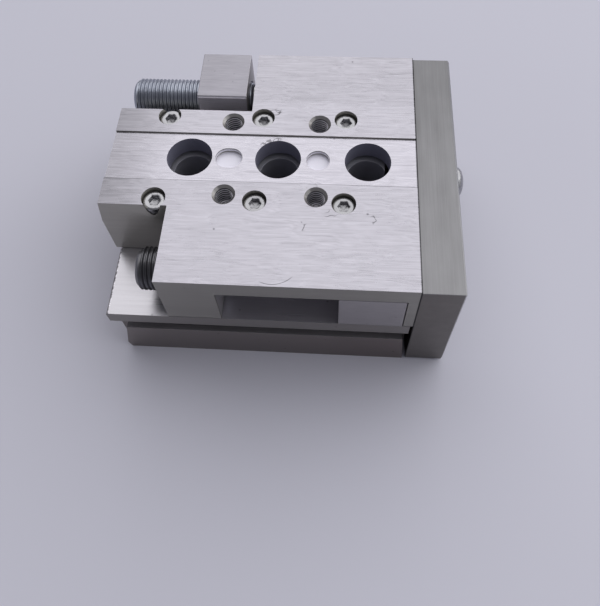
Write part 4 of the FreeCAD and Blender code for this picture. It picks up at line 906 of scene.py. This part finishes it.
class MINISLIDE_OT_stop_screws(SlideOperator, bpy.types.Operator):
    """Thread both stop screws and turn their tips"""

    bl_idname = "minislide.stop_screws"
    bl_label = "Stop screws"

    def execute(self, context):
        pitch, depth = self.edges.stop_pitch / MM, self.edges.stop_depth / MM
        for side, node, body, slot in (
                ("rear", "rear_adjuster", "rear_stop_screw", "plated_steel"),
                ("front", "front_adjuster", "front_stop_screw", "black_steel")):
            low, high = [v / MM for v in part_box(node)]
            crest = (high.z - low.z) / 2
            centre = (low.x, (low.y + high.y) / 2, (low.z + high.z) / 2)
            reach = high.x - low.x
            root, bevel = crest - depth, 1.0
            axes = axis_frame(centre, (1, 0, 0))
            builder = bmesh.new()
            helix(builder, axes, 0.0, reach, pitch, thread_profile(crest, root),
                  lambda at, radius: min(radius, crest - bevel + at,
                                         crest - bevel + reach - at))
            skin(builder, axes, [
                (4.5, None), (4.0, hexagon(2.45)), (0.25, hexagon(2.5)),
                (0.0, circle(3.05)), (0.0, circle(crest - bevel))])
            skin(builder, axes, [
                (reach, circle(crest - bevel)), (reach, circle(3.9)),
                (reach - 0.17, circle(3.73)), (reach - 3.0, circle(3.73)),
                (reach - 3.0, None)])
            keep_piece(f"{side}_stop_thread", builder, body, slot, (node,))
            self.tip(side, body)
        return {"FINISHED"}

    def tip(self, side, body):
        node = f"{side}_adjuster_tip"
        low, high = [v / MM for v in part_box(node)]
        radius, reach = (high.z - low.z) / 2, high.x - low.x
        builder = bmesh.new()
        skin(builder, axis_frame((low.x, (low.y + high.y) / 2, (low.z + high.z) / 2),
                                 (1, 0, 0)), [
            (0.0, None), (0.0, circle(radius - 0.2)), (0.2, circle(radius)),
            (reach - 0.5, circle(radius)), (reach - 0.42, circle(radius - 0.05)),
            (reach - 0.06, circle(radius - 0.42)), (reach, circle(radius - 0.56)),
            (reach, circle(radius * 0.45)), (reach, None)])
        keep_piece(f"{side}_stop_tip", builder, body, "tip_steel", (node,), 40.0)


class MINISLIDE_OT_rail_screws(SlideOperator, bpy.types.Operator):
    """Turn the socket screws that hold the rails and the stop blocks"""

    bl_idname = "minislide.rail_screws"
    bl_label = "Rail and block screws"

    def execute(self, context):
        size = {"head": 2.7, "height": 3.0, "socket": 1.25, "depth": 1.6, "shank": 1.5,
                "pitch": self.edges.fine_pitch / MM, "knurls": self.edges.knurls,
                "knurl_depth": 0.09, "rim": 0.55}
        builder = bmesh.new()
        for x, y in RAIL_SCREW_PLACES:
            screw(builder, axis_frame((x, y, RAIL_SCREW_FACE), (0, 0, 1)),
                  dict(size, reach=RAIL_SCREW_REACH))
        keep_piece("table_rail_screws", builder, "table", "screw_steel",
                   ("slide_rail_screws",))
        for name, node, places in (
                ("centre_rail_cap_screws", "centre_rail_screws", [(14.4, 0.0), (-6.8, 0.0)]),
                ("front_block_cap_screws", "front_block_screws",
                 [(23.02, -27.0), (30.03, -27.0)]),
                ("rear_block_cap_screws", "rear_block_screws",
                 [(-15.42, 27.0), (-8.43, 27.0)])):
            low, high = [v.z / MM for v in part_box(node)]
            builder = bmesh.new()
            for x, y in places:
                screw(builder, axis_frame((x, y, low), (0, 0, -1)),
                      dict(size, reach=high - low - size["height"]))
            keep_piece(name, builder, "base", "screw_steel", (node,))
        return {"FINISHED"}


class MINISLIDE_OT_yoke_screws(SlideOperator, bpy.types.Operator):
    """Turn the yoke's screws and dowel pins"""

    bl_idname = "minislide.yoke_screws"
    bl_label = "Yoke screws and pins"

    def execute(self, context):
        shank = [(-YOKE_SCREW_REACH, None), (-YOKE_SCREW_REACH, circle(1.6)),
                 (-YOKE_SCREW_REACH + 0.4, circle(2.0))]
        builder = bmesh.new()
        skin(builder, axis_frame((YOKE_FACE, 0.0, YOKE_SCREW_Z), (1, 0, 0)), [
            *shank, (0.0, circle(2.0)),
            (0.0, circle(3.66)), (0.14, circle(3.8)), (0.73, circle(3.8)), (1.15, circle(3.66)),
            (1.55, circle(3.33)), (1.88, circle(2.85)), (2.1, circle(2.3)), (2.2, circle(1.9)),
            (2.2, circle(1.55)), (2.06, hexagon(1.25)), (0.8, hexagon(1.22)), (0.5, None)])
        keep_piece("yoke_button_screw", builder, "table", "screw_steel",
                   ("yoke_centre_screw",), 40.0)
        builder = bmesh.new()
        for y in (-YOKE_SCREW_ROW, YOKE_SCREW_ROW):
            skin(builder, axis_frame((YOKE_FACE, y, YOKE_SCREW_Z), (1, 0, 0)), [
                *shank, (-1.9, circle(2.0)), (-0.12, circle(3.78)), (0.0, circle(3.82)),
                (0.0, circle(1.75)), (-0.2, hexagon(1.25)), (-1.4, hexagon(1.22)),
                (-1.7, None)])
        keep_piece("yoke_flush_screws", builder, "table", "screw_steel",
                   ("yoke_side_screws",), 40.0)
        builder = bmesh.new()
        size = {"head": 4.25, "height": 5.0, "socket": 2.0, "depth": 2.4, "shank": 2.5,
                "pitch": self.edges.fine_pitch / MM * 1.6, "knurls": self.edges.knurls,
                "knurl_depth": 0.12, "rim": 0.5, "reach": 12.15}
        for y in (-ROD_ROW, ROD_ROW):
            screw(builder, axis_frame((ROD_SCREW_SEAT, y, ROD_Z), (1, 0, 0)), size)
        keep_piece("rod_cap_screws", builder, "table", "screw_steel", ("rod_screws",))
        broken_edges("yoke_pins", "yoke_dowels", PIN_EDGE, "table", "rail_steel")
        return {"FINISHED"}


class MINISLIDE_OT_guide(SlideOperator, bpy.types.Operator):
    """Finish the rails, ball cages and balls"""

    bl_idname = "minislide.guide"
    bl_label = "Ball guide"

    def execute(self, context):
        width = self.edges.rail_edge
        middle = broken_edges("centre_rail_body", "centre_rail", width, "base", "rail_steel")
        middle.data.materials[0] = finish("greased")
        for side in ("front", "rear"):
            broken_edges(f"side_rail_{side}", f"slide_rail_{side}", width, "table",
                         "rail_steel")
            paint(f"ball_cage_{side}", "cage_plastic")
            paint(f"balls_{side}", "ball_steel")
        return {"FINISHED"}


class MINISLIDE_OT_cylinders(SlideOperator, bpy.types.Operator):
    """Finish the pistons, rods, seals, plugs, clips and bushes"""

    bl_idname = "minislide.cylinders"
    bl_label = "Cylinder parts"

    def execute(self, context):
        broken_edges("plug_bodies", "rear_plugs", INNER_EDGE, "base", "housing_aluminium")
        broken_edges("clip_rings", "plug_clips", INNER_EDGE, "base", "clip_steel")
        broken_edges("piston_bodies", "pistons", PISTON_EDGE, "table", "piston_aluminium")
        broken_edges("rod_bodies", "piston_rods", PISTON_EDGE, "table", "rod_chrome")
        for node, slot in (("piston_seals", "seal_rubber"), ("plug_seals", "seal_rubber"),
                           ("rod_seals", "seal_rubber"), ("piston_magnets", "magnet_ferrite"),
                           ("rod_bushes", "bush_bronze")):
            paint(node, slot)
        return {"FINISHED"}


class MINISLIDE_OT_camera(SlideOperator, bpy.types.Operator):
    """Set the camera at the viewing angle"""

    bl_idname = "minislide.camera"
    bl_label = "Camera"

    def execute(self, context):
        studio = context.scene.mini_slide_studio
        aim = Vector(studio.camera_aim).normalized()
        level = aim.cross(Vector((0, 0, 1))).normalized()
        raised = level.cross(aim)
        right = level * math.cos(studio.camera_roll) + raised * math.sin(studio.camera_roll)
        above = right.cross(aim)
        data = bpy.data.cameras.new("view_camera")
        data.sensor_fit = "AUTO"
        data.sensor_width = 36.0
        data.lens = studio.camera_lens
        data.shift_y = studio.camera_shift
        data.clip_start, data.clip_end = 0.005, 20.0
        camera = bpy.data.objects.new("view_camera", data)
        turn = Matrix((right, above, -aim)).transposed().to_4x4()
        camera.matrix_world = Matrix.Translation(studio.camera_place) @ turn
        context.scene.collection.objects.link(camera)
        context.scene.camera = camera
        return {"FINISHED"}


class MINISLIDE_OT_stage(SlideOperator, bpy.types.Operator):
    """Lay the floor and hang the soft lamps"""

    bl_idname = "minislide.stage"
    bl_label = "Floor and lamps"

    def lamp(self, name, power, place, size, colour):
        """Hangs a soft rectangular lamp that looks at the middle of the slide."""
        data = bpy.data.lights.new(name, "AREA")
        data.shape = "RECTANGLE"
        data.size, data.size_y = size
        data.energy = power
        data.color = colour
        lamp = bpy.data.objects.new(name, data)
        lamp.location = place
        lamp.rotation_euler = (Vector(LAMP_TARGET) - Vector(place)) \
            .to_track_quat("-Z", "Y").to_euler()
        lamp.visible_camera = False
        bpy.context.scene.collection.objects.link(lamp)

    def execute(self, context):
        scene, studio = context.scene, context.scene.mini_slide_studio
        builder = bmesh.new()
        bmesh.ops.create_grid(builder, x_segments=16, y_segments=16, size=2.5)
        mesh = bpy.data.meshes.new("floor_sheet")
        builder.to_mesh(mesh)
        builder.free()
        mesh.materials.append(floor_surface(studio))
        floor = bpy.data.objects.new("floor_sheet", mesh)
        floor.location.z = CAD_BOX[0].z - FLOOR_DROP
        scene.collection.objects.link(floor)
        world = bpy.data.worlds.new("plain_surroundings")
        world.use_nodes = True
        backdrop = world.node_tree.nodes["Background"]
        backdrop.inputs["Color"].default_value = (*studio.sky, 1.0)
        backdrop.inputs["Strength"].default_value = studio.sky_level
        scene.world = world
        self.lamp("large_soft_lamp", studio.lamp_power, (0.42, 0.78, 1.04), (3.0, 2.6),
                  (1.0, 0.99, 0.985))
        self.lamp("side_fill_lamp", studio.fill_power, (0.9, -0.15, 0.5), (0.8, 0.8),
                  (0.98, 0.99, 1.0))
        scene.view_settings.view_transform = "Standard"
        return {"FINISHED"}


PIECES = (
    MINISLIDE_OT_camera, MINISLIDE_OT_table, MINISLIDE_OT_table_threads, MINISLIDE_OT_housing,
    MINISLIDE_OT_yoke, MINISLIDE_OT_stop_blocks, MINISLIDE_OT_stop_screws,
    MINISLIDE_OT_rail_screws, MINISLIDE_OT_yoke_screws, MINISLIDE_OT_guide,
    MINISLIDE_OT_cylinders, MINISLIDE_OT_stage,
)


class MINISLIDE_PT_panel(bpy.types.Panel):
    """Settings and steps of the mini slide"""

    bl_idname = "MINISLIDE_PT_panel"
    bl_label = "Mini Slide"
    bl_space_type = "VIEW_3D"
    bl_region_type = "UI"
    bl_category = "Mini Slide"

    def draw(self, context):
        layout = self.layout
        for group in ("mini_slide_colours", "mini_slide_edges", "mini_slide_studio"):
            settings = getattr(context.scene, group)
            box = layout.box()
            for name in settings.__annotations__:
                box.prop(settings, name)
        for piece in PIECES:
            layout.operator(piece.bl_idname)


GROUPS = {
    "mini_slide_colours": MiniSlideColours,
    "mini_slide_edges": MiniSlideEdges,
    "mini_slide_studio": MiniSlideStudio,
}
CLASSES = (*GROUPS.values(), *PIECES, MINISLIDE_PT_panel)


def register():
    for cls in CLASSES:
        bpy.utils.register_class(cls)
    for name, cls in GROUPS.items():
        setattr(bpy.types.Scene, name, PointerProperty(type=cls))


def unregister():
    for name in GROUPS:
        delattr(bpy.types.Scene, name)
    for cls in reversed(CLASSES):
        bpy.utils.unregister_class(cls)


def main():
    register()
    for piece in PIECES:
        group, step = piece.bl_idname.split(".")
        if getattr(getattr(bpy.ops, group), step)() != {"FINISHED"}:
            raise RuntimeError(f"{piece.bl_label} wasn't finished")


if __name__ == "__main__":
    main()
